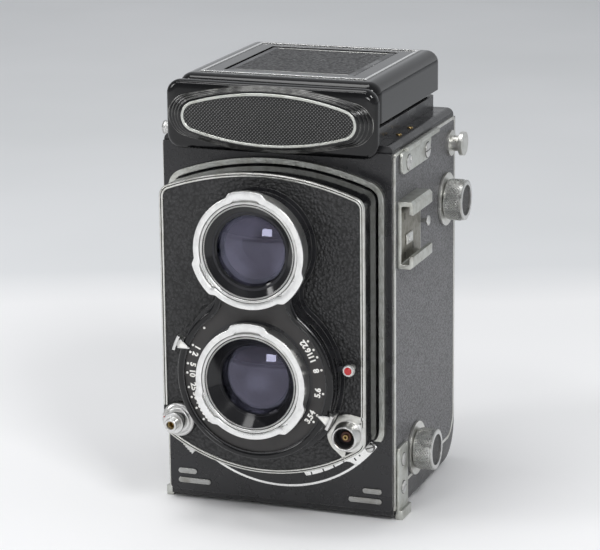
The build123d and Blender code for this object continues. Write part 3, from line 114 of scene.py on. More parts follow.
class DetailSettings(bpy.types.PropertyGroup):
    knurl_count: IntProperty(
        name="Knurls", description="Diamonds round a film knob", default=46, min=12, max=90
    )
    digit_height: FloatProperty(
        name="Digit height", description="Height of the numbers on the two scales",
        subtype="DISTANCE", default=0.0018, min=0.0005, max=0.005,
    )
    camera_distance: FloatProperty(
        name="Camera distance",
        description="Distance from the render camera to what it looks at",
        subtype="DISTANCE", default=0.83287, min=0.1, max=5,
    )


# ---------------------------------------------------------------- drawing planes
def along_front(x, z, depth):
    """A point of a drawing on a plane that faces the front; depth runs forward."""
    return Vector((x, FRONT_Y - depth, z)) * MM


def along_right(y, z, depth):
    """A point of a drawing on the right side; depth runs outwards from x = 0."""
    return Vector((depth, y, z)) * MM


def along_left(y, z, depth):
    """As along_right, on the left side."""
    return Vector((-depth, y, z)) * MM


def along_top(x, y, height):
    """A point of a drawing on the deck."""
    return Vector((x, y, height)) * MM


def swung(angle):
    """Drawing plane on the front, turned about the axis of the taking lens."""
    c, s = cos(radians(angle)), sin(radians(angle))
    return lambda u, v, depth: along_front(u * c - v * s, TAKING_Z + u * s + v * c, depth)


def side_y(depth):
    """The y of a point that lies `depth` behind the body's front face."""
    return FRONT_Y + depth


# ---------------------------------------------------------------- meshes
def piece(name, shape, finish, body, replaced=(), angle=38.0):
    """Makes a smooth-shaded object, hangs it on a body and names its finish."""
    verts, faces = shape
    mesh = bpy.data.meshes.new(name)
    mesh.from_pydata([tuple(v) for v in verts], [], faces)
    work = bmesh.new()
    work.from_mesh(mesh)
    bmesh.ops.remove_doubles(work, verts=work.verts, dist=1e-7)
    bmesh.ops.recalc_face_normals(work, faces=work.faces)
    work.to_mesh(mesh)
    work.free()
    for polygon in mesh.polygons:
        polygon.use_smooth = True
    mesh.set_sharp_from_angle(angle=radians(angle))
    obj = bpy.data.objects.new(name, mesh)
    bpy.context.scene.collection.objects.link(obj)
    obj.data.materials.append(FINISHES[finish])
    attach(obj, body)
    if replaced:
        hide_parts(*replaced)
    return obj


def band(loops, closed):
    """Quads between loops of equal length; `closed` joins the last loop to the first."""
    count = len(loops[0])
    verts = [v for loop in loops for v in loop]
    faces = []
    for row in range(len(loops) if closed else len(loops) - 1):
        a = row * count
        b = ((row + 1) % len(loops)) * count
        for k in range(count):
            n = (k + 1) % count
            faces.append((a + k, a + n, b + n, b + k))
    return verts, faces


def sweep(outline, section, place=along_front, closed=True):
    """A section of (offset, height) points carried round an outline of (point, normal)."""
    loops = [
        [place(p[0] + n[0] * off, p[1] + n[1] * off, height) for p, n in outline]
        for off, height in section
    ]
    return band(loops, closed)


def capped(outline, section, place=along_front):
    """As sweep, with a flat cap on the first and the last loop."""
    verts, faces = sweep(outline, section, place, closed=False)
    count = len(outline)
    last = (len(section) - 1) * count
    faces.append(tuple(range(count - 1, -1, -1)))
    faces.append(tuple(range(last, last + count)))
    return verts, faces


def merge(*parts):
    """Joins several (verts, faces) lists into one."""
    verts, faces = [], []
    for more_verts, more_faces in parts:
        shift = len(verts)
        verts += list(more_verts)
        faces += [tuple(i + shift for i in face) for face in more_faces]
    return verts, faces


def spokes(steps):
    """Unit vectors spread evenly round a circle."""
    return [(cos(2 * pi * k / steps), sin(2 * pi * k / steps)) for k in range(steps)]


def lathe(a, b, profile, steps=96, place=along_front):
    """Closed profile of (depth, radius) turned about the axis through (a, b)."""
    around = spokes(steps)
    loops = [[place(a + r * c, b + r * s, d) for c, s in around] for d, r in profile]
    return band(loops, closed=True)


def disc(a, b, profile, steps=96, place=along_front):
    """Open profile of (depth, radius) turned about an axis and capped at both ends."""
    outline = [((a, b), spoke) for spoke in spokes(steps)]
    return capped(outline, [(r, d) for d, r in profile], place)


def dome(edge, crown, radius, rings=10):
    """Profile of a spherical cap from its edge to its crown, as (depth, radius)."""
    height = crown - edge
    curve = (radius**2 + height**2) / (2 * height)
    points = []
    for k in range(rings + 1):
        r = radius * max(1 - k / rings, 0.004)
        rise = sqrt(curve**2 - r**2) - (abs(curve) - abs(height))
        points.append((edge + (rise if height > 0 else -rise), r))
    return points


# ---------------------------------------------------------------- outlines
def polar(radius, angle, x=0.0, z=0.0):
    """The point at a radius and an angle, in degrees, from a centre."""
    return x + radius * cos(radians(angle)), z + radius * sin(radians(angle))


def arc(x, z, radius, start, end, steps):
    """Points with outward normals along an arc, angles in degrees."""
    angles = [start + (end - start) * k / steps for k in range(steps + 1)]
    return [(polar(radius, a, x, z), polar(1, a)) for a in angles]


def ring_outline(radius, steps=96, x=0.0, z=0.0):
    """Full circle."""
    return arc(x, z, radius, 0, 360, steps)[:-1]


def box_outline(half_width, half_height, corner, x=0.0, z=0.0, steps=8):
    """Rectangle with round corners."""
    made = []
    for sx, sz, start in ((1, 1, 0), (-1, 1, 90), (-1, -1, 180), (1, -1, 270)):
        cx = x + sx * (half_width - corner)
        cz = z + sz * (half_height - corner)
        made += arc(cx, cz, corner, start, start + 90, steps)
    return made


def board_outline():
    """Arched outline of the lens board."""
    half, corner = 33.9, 4.0
    top_z, top_rise = 113.2, 6.7
    foot_z, foot_drop = 15.8, 11.2
    top_radius = (half**2 + top_rise**2) / (2 * top_rise)
    low_radius = (half**2 + foot_drop**2) / (2 * foot_drop)
    top_centre = top_z - top_radius
    low_centre = foot_z + low_radius
    cx = half - corner
    cz_top = top_centre + sqrt((top_radius - corner) ** 2 - cx**2)
    cz_low = low_centre - sqrt((low_radius - corner) ** 2 - cx**2)
    lean_top = degrees(atan2(cz_top - top_centre, cx))
    lean_low = degrees(atan2(cz_low - low_centre, cx))
    climb = [cz_low + (cz_top - cz_low) * k / 12 for k in range(1, 12)]
    made = arc(cx, cz_low, corner, lean_low, 0, 8)
    made += [((half, z), (1, 0)) for z in climb]
    made += arc(cx, cz_top, corner, 0, lean_top, 8)
    made += arc(0, top_centre, top_radius, lean_top, 180 - lean_top, 30)[1:-1]
    made += arc(-cx, cz_top, corner, 180 - lean_top, 180, 8)
    made += [((-half, z), (-1, 0)) for z in reversed(climb)]
    made += arc(-cx, cz_low, corner, 180, 180 - lean_low, 8)
    made += arc(0, low_centre, low_radius, 180 - lean_low, 360 + lean_low, 30)[1:-1]
    return made


def eight_outline():
    """Outline of the shutter housing: a drum that runs up to the viewing lens."""
    high_radius, neck = 17.0, 9.0
    low_reach = DRUM_RADIUS + neck
    high_reach = high_radius + neck
    gap = VIEWING_Z - TAKING_Z
    rise = (low_reach**2 - high_reach**2 + gap**2) / (2 * gap)
    wx = sqrt(low_reach**2 - rise**2)
    wz = TAKING_Z + rise
    to_low = degrees(atan2(TAKING_Z - wz, -wx)) % 360
    to_high = degrees(atan2(VIEWING_Z - wz, -wx))
    low_touch = degrees(atan2(wz - TAKING_Z, wx))
    high_touch = degrees(atan2(wz - VIEWING_Z, wx))
    curve = arc(wx, wz, neck, to_low, to_high, 16)[1:-1]
    waist = [(p, (-n[0], -n[1])) for p, n in curve]
    made = arc(0, TAKING_Z, DRUM_RADIUS, 180 - low_touch, 360 + low_touch, 72)
    made += waist
    made += arc(0, VIEWING_Z, high_radius, high_touch, 180 - high_touch, 48)
    made += [((-p[0], p[1]), (-n[0], n[1])) for p, n in reversed(waist)]
    return made


def oval_outline(half_length, half_height, end_radius, z):
    """Long oval of two flat curves and two round ends."""
    run = half_length - end_radius
    big = (run**2 + half_height**2 - end_radius**2) / (2 * (half_height - end_radius))
    drop = big - half_height
    lean = degrees(atan2(run, drop))
    made = arc(run, z, end_radius, lean - 90, 90 - lean, 20)
    made += arc(0, z - drop, big, 90 - lean, 90 + lean, 44)[1:-1]
    made += arc(-run, z, end_radius, 90 + lean, 270 - lean, 20)
    made += arc(0, z + drop, big, 270 - lean, 270 + lean, 44)[1:-1]
    return made


def outline_of(points):
    """Outline from bare points, for plates that need no normals."""
    return [(p, (0.0, 0.0)) for p in points]


def rounded(corners, radius, steps=6):
    """Polygon with its corners rounded off, its points given in order."""
    made = []
    for k, corner in enumerate(corners):
        here = Vector(corner)
        before = Vector(corners[k - 1]) - here
        after = Vector(corners[(k + 1) % len(corners)]) - here
        half = before.angle(after) / 2
        reach = min(radius * cos(half) / sin(half), 0.49 * min(before.length, after.length))
        first = here + before.normalized() * reach
        last = here + after.normalized() * reach
        for m in range(steps + 1):
            t = m / steps
            made.append(tuple(first * (1 - t) ** 2 + here * 2 * t * (1 - t) + last * t**2))
    return outline_of(made)


def sector(inner, outer, half, steps=12):
    """Slice of a ring that reaches `half` degrees to either side."""
    angles = [half * (2 * k / steps - 1) for k in range(steps + 1)]
    return [polar(inner, a) for a in angles] + [polar(outer, -a) for a in angles]


def toothed(radius, tooth, count, x=0.0, z=0.0):
    """Outline of a knurled wheel with `count` pointed teeth."""
    made = []
    for k, (c, s) in enumerate(spokes(2 * count)):
        r = radius - (tooth if k % 2 else 0.0)
        made.append(((x + r * c, z + r * s), (c, s)))
    return made


# ---------------------------------------------------------------- shaped parts
def laid(curve, place, middle):
    """Mesh lists of a filled flat curve set on a drawing plane, curve deleted."""
    holder = bpy.data.objects.new(curve.name, curve)
    bpy.context.scene.collection.objects.link(holder)
    ready = holder.evaluated_get(bpy.context.evaluated_depsgraph_get())
    mesh = bpy.data.meshes.new_from_object(ready)
    verts = [place(v.co.x, v.co.y, middle + v.co.z) for v in mesh.vertices]
    faces = [tuple(polygon.vertices) for polygon in mesh.polygons]
    bpy.data.objects.remove(holder)
    bpy.data.curves.remove(curve)
    bpy.data.meshes.remove(mesh)
    return verts, faces


def plate(outlines, low, high, soften=0.0, place=along_front):
    """Plate between two heights; outlines inside the first are its holes."""
    curve = bpy.data.curves.new("plate", "CURVE")
    curve.dimensions = "2D"
    curve.fill_mode = "BOTH"
    curve.extrude = (high - low) / 2 - soften
    curve.bevel_depth = soften
    curve.bevel_resolution = 2
    curve.offset = -soften
    for outline in outlines:
        spline = curve.splines.new("POLY")
        spline.points.add(len(outline) - 1)
        for point, (p, _) in zip(spline.points, outline):
            point.co = (p[0], p[1], 0, 1)
        spline.use_cyclic_u = True
    return laid(curve, place, (low + high) / 2)


def flat(points, low, high, soften=0.0, place=along_front):
    """Plate whose outline is given as bare points."""
    return plate([outline_of(points)], low, high, soften, place)


def number(text, size, x, z, turn, low, high, weight=0.11, place=along_front):
    """A number as a thin raised mesh turned by `turn` degrees, its strokes made bolder."""
    curve = bpy.data.curves.new("number", "FONT")
    curve.body = text
    curve.size = size
    curve.align_x = "CENTER"
    curve.align_y = "CENTER"
    curve.offset = weight
    curve.extrude = (high - low) / 2
    curve.resolution_u = 4
    c, s = polar(1, turn)

    def turned(u, v, depth):
        return place(x + u * c - v * s, z + u * s + v * c, depth)

    return laid(curve, turned, (low + high) / 2)


def slab(low, high, radius=0.15, steps=2):
    """Box between two corners in millimetres, with rounded edges."""
    work = bmesh.new()
    bmesh.ops.create_cube(work, size=1)
    for vert in work.verts:
        vert.co = Vector(low[k] + (vert.co[k] + 0.5) * (high[k] - low[k]) for k in range(3))
    bmesh.ops.bevel(
        work, geom=work.edges[:], offset=radius, segments=steps, profile=0.5, affect="EDGES"
    )
    work.verts.index_update()
    verts = [v.co * MM for v in work.verts]
    faces = [tuple(v.index for v in face.verts) for face in work.faces]
    work.free()
    return verts, faces


def screw_head(place, a, b, base, radius, height, turn, slot):
    """Slotted head with a domed edge: two halves either side of the slot."""
    floor = base + height * SLOT_FLOOR
    parts = [capped(ring_outline(radius, 36, a, b), [(0, base), (0, floor)], place)]
    gap = radius * slot / 2
    lean = degrees(atan2(gap, sqrt(radius**2 - gap**2)))
    steps = 18
    shrink = (
        (0.0, floor),
        (0.0, base + height * 0.72),
        (-0.14 * radius, base + height * 0.93),
        (-0.36 * radius, base + height),
    )
    for half in (turn, turn + 180):
        side = polar(1, half + 90)
        run = [half + lean + (180 - 2 * lean) * k / steps for k in range(steps + 1)]
        loops = []
        for off, level in shrink:
            loop = []
            for u, v in (polar(radius + off, angle) for angle in run):
                push = max(0.0, gap - u * side[0] - v * side[1])
                loop.append(place(a + u + side[0] * push, b + v + side[1] * push, level))
            loops.append(loop)
        verts, faces = band(loops, closed=False)
        faces.append(tuple(range(3 * len(run), 4 * len(run))))
        parts.append((verts, faces))
    return merge(*parts)


def screw_shade(place, a, b, base, radius, height, turn, slot):
    """Painted shade: a dark ring round a screw head and a dark fill along the floor of its slot."""
    c, s = polar(1, turn)
    long, wide = radius * 0.97, radius * slot * 0.49
    corners = [
        (a + u * c - v * s, b + u * s + v * c)
        for u, v in ((-long, -wide), (long, -wide), (long, wide), (-long, wide))
    ]
    ring = capped(ring_outline(radius + 0.22, 36, a, b), [(0, base), (0, base + 0.09)], place)
    floor = base + height * SLOT_FLOOR + 0.05
    return merge(ring, capped(outline_of(corners), [(0, base), (0, floor)], place))


def screw_set(name, rows, finish):
    """Screws of one kind on the camera's body, with the painted shade that outlines them.

    A row holds drawing plane, place, base, radius, height, turn and the slot's width as
    a share of the radius.
    """
    heads = merge(*(screw_head(*row) for row in rows))
    shades = merge(*(screw_shade(*row) for row in rows))
    piece(name, heads, finish, "camera_body", angle=40)
    # Painted shade round each head and in each slot.
    piece(f"{name}_shade", shades, "grime_and_shade", "camera_body")


def knurled_sleeve(y, z, start, end, radius, height, count, rows):
    """Tube with raised diamonds, for a knob whose axis runs along X."""
    fine = 4  # mesh points from one diamond's edge to the next
    length = rows * fine
    around = spokes(count * fine)
    loops = []
    for m in range(length + 1):
        fade = min(1.0, 4 * min(m, length - m) / length + 0.15)
        loop = []
        for k, (c, s) in enumerate(around):
            one = abs((k + m) / fine % 1.0 - 0.5) * 2
            two = abs((k - m) / fine % 1.0 - 0.5) * 2
            r = radius + height * fade * (1 - max(one, two))
            loop.append(along_right(y + r * c, z + r * s, start + (end - start) * m / length))
        loops.append(loop)
    bore = radius - 0.3
    for x in (end, start):
        loops.append([along_right(y + bore * c, z + bore * s, x) for c, s in around])
    return band(loops, closed=True)


def lobed_ring(z, low):
    """Filter ring with three soft-shouldered lobes and a scoop in its bore at each."""
    bore, rim, lobe, front = 16.2, 18.15, 19.3, 26.0
    lobe_angles = (92, 211, 323)

    def near(angle, half, shoulder):
        away = min(abs((angle - middle + 180) % 360 - 180) for middle in lobe_angles)
        t = min(1.0, max(0.0, (away - half) / shoulder))
        return 1 - t * t * (3 - 2 * t)

    angles = [1.5 * k for k in range(240)]
    reach = {
        "bore": [bore for _ in angles],
        "rim": [rim for _ in angles],
        "lobes": [rim + (lobe - rim) * near(a, 15.5, 7) for a in angles],
        "scoops": [bore + 0.75 * near(a, 12, 6) for a in angles],
    }
    rows = (
        ("bore", 0, low),
        ("rim", 0, low),
        ("rim", 0, 24.2),
        ("lobes", 0, 24.35),
        ("lobes", 0, front - 0.3),
        ("lobes", -0.04, front - 0.12),
        ("lobes", -0.14, front - 0.03),
        ("lobes", -0.26, front),
        ("scoops", 0.16, front),
        ("scoops", 0.04, front - 0.06),
        ("scoops", 0, front - 0.22),
        ("scoops", 0, front - 1.15),
        ("bore", 0, front - 1.2),
    )
    loops = [
        [along_front(*polar(r + off, a, 0, z), depth) for a, r in zip(angles, reach[edge])]
        for edge, off, depth in rows
    ]
    return band(loops, closed=True)


# ---------------------------------------------------------------- finishes
FINISHES = {}


class Nodes:
    """A node tree under construction. A socket may be fed a number, a colour or a socket."""

    def __init__(self, tree):
        self.tree = tree

    def join(self, source, target):
        self.tree.links.new(source, target)

    def add(self, kind, sockets=(), **values):
        """New node, with sockets fed by name or place and attributes set by keyword."""
        node = self.tree.nodes.new(kind)
        for key, value in values.items():
            setattr(node, key, value)
        self.feed(node, dict(sockets))
        return node

    def feed(self, node, sockets):
        for key, value in sockets.items():
            if isinstance(value, (int, float)):
                node.inputs[key].default_value = value
            elif isinstance(value, tuple):
                node.inputs[key].default_value = (*value, 1)
            else:
                self.join(value, node.inputs[key])

    def math(self, operation, a, b=0.0):
        return self.add("ShaderNodeMath", {0: a, 1: b}, operation=operation).outputs[0]

    def times(self, a, b):
        return self.math("MULTIPLY", a, b)

    def split(self, vector):
        """The outputs X, Y and Z of a vector."""
        return self.add("ShaderNodeSeparateXYZ", {0: vector}).outputs

    def ramp(self, source, low, high, out_low=0.0, out_high=1.0):
        """Carries the range from low to high over to another, and holds it there."""
        limits = {"From Min": low, "From Max": high, "To Min": out_low, "To Max": out_high}
        return self.add("ShaderNodeMapRange", {"Value": source, **limits}).outputs["Result"]

    def blend(self, factor, first, second):
        """Colour between `first` and `second`, each a colour or a socket."""
        sockets = {"Factor": factor, 6: first, 7: second}
        return self.add("ShaderNodeMix", sockets, data_type="RGBA").outputs[2]


class Finish(Nodes):
    """A material under construction, on the object's own coordinates."""

    def __init__(self, name, colour, metallic=0.0, roughness=0.5, **extra):
        self.material = bpy.data.materials.new(name)
        self.material.use_nodes = True
        super().__init__(self.material.node_tree)
        self.shader = self.tree.nodes["Principled BSDF"]
        extra = {socket.replace("_", " "): value for socket, value in extra.items()}
        extra |= {"Base Color": colour, "Metallic": metallic, "Roughness": roughness}
        self.feed(self.shader, extra)
        self.where = self.add("ShaderNodeTexCoord").outputs["Object"]
        self.normal = None
        FINISHES[name] = self.material

    def noise(self, size, detail=3.0, rough=0.55, output="Fac"):
        """Cloudy noise whose features are about `size` metres."""
        cloud = {"Scale": 1 / size, "Detail": detail, "Roughness": rough}
        return self.add("ShaderNodeTexNoise", {"Vector": self.where, **cloud}).outputs[output]

    def cells(self, size, smooth=False, where=None):
        """Distance to the nearest of points strewn about `size` metres apart."""
        sockets = {"Vector": where or self.where, "Scale": 1 / size}
        feature = "SMOOTH_F1" if smooth else "F1"
        return self.add("ShaderNodeTexVoronoi", sockets, feature=feature).outputs["Distance"]

    def colour(self, socket):
        self.feed(self.shader, {"Base Color": socket})

    def mottle(self, size, detail, low, high, first, second):
        """Base colour that drifts between two colours."""
        self.colour(self.blend(self.ramp(self.noise(size, detail), low, high), first, second))

    def roughness(self, source, low, high, out_low, out_high):
        ramp = self.ramp(source, low, high, out_low, out_high)
        self.feed(self.shader, {"Roughness": ramp})

    def tilt(self, kind, sockets, **values):
        """Adds a node whose normal is the one that the shader sees from then on."""
        if self.normal is not None:
            sockets["Normal"] = self.normal
        self.normal = self.add(kind, sockets, **values).outputs["Normal"]
        self.feed(self.shader, {"Normal": self.normal})

    def bevel(self, radius):
        """Rounds the edges of the plain solids in the light."""
        self.tilt("ShaderNodeBevel", {"Radius": radius}, samples=4)

    def bump(self, height, distance, strength=1.0):
        sockets = {"Height": height, "Distance": distance, "Strength": strength}
        self.tilt("ShaderNodeBump", sockets)

    def edges(self):
        """1 where the rounded normal leaves the face, as it does along an edge."""
        face = self.add("ShaderNodeNewGeometry").outputs["Normal"]
        normals = {0: self.normal, 1: face}
        turn = self.add("ShaderNodeVectorMath", normals, operation="DOT_PRODUCT")
        return self.ramp(turn.outputs["Value"], 0.996, 0.93)


def scaled(colour, factor):
    """A colour made lighter or darker, held at white."""
    return tuple(min(1.0, c * factor) for c in colour)


def make_leather(name, colour, grain, depth, rough_low, rough_high, spread):
    """Embossed pebble grain: raised cells whose creases are darkened as painted shade and whose
    tops are lightened, partly as wear and partly as a painted highlight.
    """
    leather = Finish(name, colour, roughness=0.55)
    drift = {0: leather.noise(grain * 3, 2.0, 0.5, "Color"), "Scale": grain * 0.6}
    shift = leather.add("ShaderNodeVectorMath", drift, operation="SCALE").outputs["Vector"]
    warp = {0: leather.where, 1: shift}
    warp = leather.add("ShaderNodeVectorMath", warp, operation="ADD").outputs["Vector"]
    pebble = leather.cells(grain, where=warp)
    fine = leather.cells(grain * 0.5, smooth=True, where=warp)
    height = leather.math("ADD", leather.times(pebble, -1.0), leather.times(fine, -0.3))
    tops = leather.ramp(height, -0.85, -0.2)
    cloud = leather.ramp(leather.noise(0.012), 0.3, 0.7, 0.5, 1.0)
    # Painted shade in the creases and a painted highlight on the pebble tops, partly wear; spread
    # sets how far both part from the leather's colour.
    crease_painted_shade, tops_wear_and_highlight = scaled(colour, 1 - spread), scaled(colour, 1 + 1.7 * spread)
    leather.colour(leather.blend(leather.times(tops, cloud), crease_painted_shade, tops_wear_and_highlight))
    leather.roughness(tops, 0.0, 1.0, rough_high, rough_low)
    leather.bump(height, depth)


def make_paint(name, colour, rough_low, rough_high, shine, peel, edge_wear_and_highlight=0.0):
    """Brushed-out enamel with faint orange peel, dust and dull patches; its edges are lightened,
    partly as wear through to bare metal and partly as a painted highlight.
    """
    paint = Finish(name, colour, roughness=rough_low, Specular_IOR_Level=shine)
    paint.bevel(0.00022)
    patches = paint.ramp(paint.noise(0.009, 4.0), 0.42, 0.62)
    dust = paint.ramp(paint.cells(0.0021), 0.02, 0.055, 1.0, 0.0)
    dust = paint.times(dust, paint.ramp(paint.noise(0.006, 2.0), 0.55, 0.7))
    paint_wear_and_highlight = paint.blend(patches, colour, scaled(colour, 1.35))
    paint_wear_and_highlight = paint.blend(paint.times(dust, 0.35), paint_wear_and_highlight, (0.20, 0.19, 0.17))
    if edge_wear_and_highlight:
        # Painted highlight along the edges, partly wear through the paint: the edges are lightened
        # towards a pale metal colour.
        bare = paint.ramp(paint.noise(0.006, 4.0), 0.40, 0.58, 0.25, 1.0)
        bare = paint.times(bare, paint.edges())
        paint_wear_and_highlight = paint.blend(paint.times(bare, edge_wear_and_highlight), paint_wear_and_highlight, (0.62, 0.62, 0.59))
    paint.colour(paint_wear_and_highlight)
    paint.roughness(patches, 0.0, 1.0, rough_low, rough_high)
    paint.bump(paint.noise(0.0014, 2.0), peel, 0.5)


def make_metal(name, colour, rough_low, rough_high, grime_and_shade, pit=0.0, pit_size=0.0005):
    """Plated or bare metal with tarnish in patches and an optional pitted surface."""
    metal = Finish(name, colour, metallic=1.0, roughness=rough_low)
    metal.bevel(0.00018)
    patches = metal.ramp(metal.noise(0.004, 5.0, 0.65), 0.45, 0.72)
    red, green, blue = scaled(colour, 0.55)
    tarnish = (red, green * 0.96, blue * 0.86)
    metal.colour(metal.blend(metal.times(patches, grime_and_shade), colour, tarnish))
    metal.roughness(metal.noise(0.0016), 0.3, 0.7, rough_low, rough_high)
    if pit:
        metal.bump(metal.cells(pit_size, smooth=True), pit, 0.8)
    else:
        metal.bump(metal.noise(0.0007), 0.000006, 0.4)


def make_weave(name, colour):
    """Fine raised lattice of the badge's ground."""
    weave = Finish(name, colour, roughness=0.42)
    turn = weave.add("ShaderNodeMapping", {"Vector": weave.where})
    turn.inputs["Rotation"].default_value = (0, radians(45), 0)
    along = weave.split(turn.outputs["Vector"])
    pitch = 0.0016
    waves = []
    for axis in ("X", "Z"):
        swing = weave.times(along[axis], 2 * pi / pitch)
        waves.append(weave.math("ABSOLUTE", weave.math("SINE", swing)))
    height = weave.times(*waves)
    threads = weave.ramp(height, 0.35, 0.9)
    weave.colour(weave.blend(threads, scaled(colour, 0.3), scaled(colour, 7.0)))
    weave.bump(height, 0.0004)


def make_glass(name, tint, clear, index, painted_reflection, patch=0.010):
    """Coated glass: a tinted mirror image on its face, and below it a mottled colour that is a
    painted reflection of the coating's colours.
    """
    glass = Finish(name, painted_reflection[0], roughness=0.0, Alpha=clear, IOR=index)
    glass.shader.inputs["Specular Tint"].default_value = (*tint, 1)
    # Painted reflection: the base colour drifts between the two colours.
    glass.mottle(patch, 1.0, 0.42, 0.58, *painted_reflection)
    glass.roughness(glass.noise(0.006, 4.0, 0.7), 0.35, 0.8, 0.0, 0.05)


DRESS = {
    "satin_enamel": """body_casting front_panel shutter_housing hood_base side_flap_left
        side_flap_right back_flap back_door focus_shroud finder_flap""",
    "gloss_enamel": "lens_board nameplate_housing hood_lid crank_grip",
    "matte_black": "light_chamber magnifier_frame pressure_plate takeup_spool shutter_blades",
    "barrel_black": "viewing_barrel taking_barrel",
    "worn_alloy": "front_trim name_badge foot_plates",
    "strip_alloy": "side_trim strap_studs shaft_flanges",
    "satin_chrome": """accessory_shoe strap_plate takeup_knob supply_knob crank_arm
        frame_counter sync_socket release_collar tripod_socket door_bolt focus_lever
        selftimer_lever""",
    "bright_chrome": """viewing_bayonet taking_bayonet lid_trim focus_scale speed_lever
        aperture_lever release_button""",
    "steel": "hinge_pins winding_key upper_roller lower_roller pressure_springs",
    "front_leather": "board_leather finder_leather",
    "body_leather_painted_sheen": "side_leather door_leather",
    "coated_glass": "viewing_glass taking_glass",
    "clear_glass": "magnifier_lens",
    "ground_glass": "ground_glass",
    "silvered": "reflex_mirror",
}


class CAMERA_OT_finishes(bpy.types.Operator):
    """Makes the finishes and puts them on the camera's own solids"""

    bl_idname = "camera_dressing.finishes"
    bl_label = "Finishes"

    def execute(self, context):
        looks = context.scene.camera_finish
        paint, chrome = tuple(looks.paint_colour), tuple(looks.chrome_colour)
        alloy, leather = tuple(looks.alloy_colour), tuple(looks.leather_colour)
        timer, grain = tuple(looks.timer_colour), looks.grain_size

        make_leather("front_leather", leather, grain, 0.00032, 0.22, 0.55, 0.6)
        # The covering of the sides and the door is the same leather made 6.2 times lighter: a
        # painted sheen of light glancing off the sides.
        make_leather(
            "body_leather_painted_sheen", scaled(leather, 6.2), grain * 0.62, 0.00016, 0.26, 0.5, 0.3
        )
        make_paint("gloss_enamel", scaled(paint, 0.45), 0.05, 0.12, 0.42, 0.000003, 0.5)
        make_paint("satin_enamel", scaled(paint, 1.7), 0.22, 0.36, 0.5, 0.00001, 0.25)
        make_paint("matte_black", scaled(paint, 1.2), 0.6, 0.75, 0.4, 0.00002)
        make_paint("barrel_black", scaled(paint, 1.1), 0.08, 0.14, 0.4, 0.000003)

        clean, dull = scaled(chrome, 1.04), scaled(chrome, 0.86)
        ring = Finish("ring_chrome", clean, metallic=1.0, roughness=0.3)
        ring.mottle(0.003, 3.0, 0.45, 0.75, clean, dull)
        ring.roughness(ring.noise(0.005), 0.3, 0.7, 0.26, 0.34)
        make_metal("dark_bed_alloy", (0.30, 0.29, 0.255), 0.40, 0.55, 0.9, 0.00002, 0.0006)
        make_metal("knurl_metal", (0.47, 0.475, 0.46), 0.22, 0.36, 0.5)
        make_metal("bar_alloy", (0.40, 0.40, 0.39), 0.34, 0.5, 0.7, 0.00014, 0.0007)
        make_metal("bright_chrome", scaled(chrome, 1.08), 0.20, 0.32, 0.2)
        make_metal("satin_chrome", dull, 0.26, 0.40, 0.45)
        make_metal("worn_alloy", scaled(alloy, 1.15), 0.32, 0.48, 0.6, 0.00009, 0.00062)
        make_metal("steel", (0.42, 0.42, 0.41), 0.28, 0.42, 0.4)
        make_metal("dark_steel", (0.05, 0.05, 0.055), 0.35, 0.5, 0.4)
        make_metal("strip_alloy", (0.70, 0.70, 0.67), 0.26, 0.40, 0.6, 0.00001, 0.0009)
        make_metal("cast_alloy", (0.58, 0.59, 0.555), 0.36, 0.5, 0.7, 0.00003, 0.0007)
        make_metal("brass", (0.42, 0.30, 0.13), 0.25, 0.4, 0.5)

        field = Finish("field_enamel", (0.030, 0.028, 0.0275), roughness=0.5)
        field.bump(field.noise(0.0003, 2.0), 0.00001, 0.4)
        field.roughness(field.noise(0.004), 0.3, 0.7, 0.42, 0.58)
        rough = Finish("rough_black", (0.03, 0.03, 0.031), roughness=0.6)
        rough.bump(rough.noise(0.0004), 0.00015)
        rough.mottle(0.0006, 3.0, 0.4, 0.65, (0.02, 0.02, 0.02), (0.10, 0.10, 0.10))
        brown = Finish("brown_insulator", (0.10, 0.035, 0.02), roughness=0.5)
        brown.roughness(brown.noise(0.0008, 2.0), 0.3, 0.7, 0.4, 0.6)
        # A dark fill, used as painted shade round the screws and in the valleys of the knurls.
        grime_and_shade = Finish("grime_and_shade", (0.02, 0.019, 0.017), roughness=0.7)
        grime_and_shade.roughness(grime_and_shade.noise(0.001, 2.0), 0.3, 0.7, 0.6, 0.8)
        make_weave("badge_weave", (0.022, 0.022, 0.022))

        # Colour pairs for the glass's mottle: blue, violet and green are painted reflections of the
        # coatings; dark is a plain dark for the clear glass.
        blue = ((0.0, 0.0, 0.001), (0.085, 0.085, 0.125))
        violet = ((0.05, 0.03, 0.075), (0.012, 0.012, 0.02))
        green = ((0.02, 0.045, 0.04), (0.03, 0.012, 0.04))
        dark = ((0.004, 0.004, 0.006), (0.004, 0.004, 0.006))
        make_glass("coated_glass", (0.74, 0.75, 1.0), 0.44, 2.2, blue, 0.0105)
        make_glass("inner_glass", (1.0, 0.74, 0.95), 0.44, 2.6, violet)
        make_glass("rear_glass", (0.80, 0.98, 0.95), 0.97, 2.6, green)
        make_glass("clear_glass", (1.0, 1.0, 1.0), 0.25, 2.2, dark)
        ground = Finish(
            "ground_glass", (0.82, 0.84, 0.82), roughness=0.55, Transmission_Weight=0.6
        )
        ground.bump(ground.noise(0.0003, 2.0), 0.00002, 0.5)
        silver = Finish("silvered", (0.92, 0.93, 0.94), metallic=1.0, roughness=0.03)
        silver.roughness(silver.noise(0.01), 0.3, 0.8, 0.02, 0.08)
        white = Finish("white_enamel", (0.90, 0.89, 0.86), roughness=0.45)
        white.mottle(0.0012, 3.0, 0.45, 0.75, (0.92, 0.91, 0.88), (0.72, 0.70, 0.64))
        red = Finish("red_enamel", timer, roughness=0.22, Coat_Weight=0.5)
        red.colour(red.blend(red.noise(0.0006), timer, scaled(timer, 0.6)))

        left = set(NODES)
        for finish, names in DRESS.items():
            for name in names.split():
                mesh = NODES[name].data
                mesh.materials.clear()
                mesh.materials.append(FINISHES[finish])
                left.discard(name)
        if left:
            raise RuntimeError(f"these solids have no finish: {sorted(left)}")
        return {"FINISHED"}


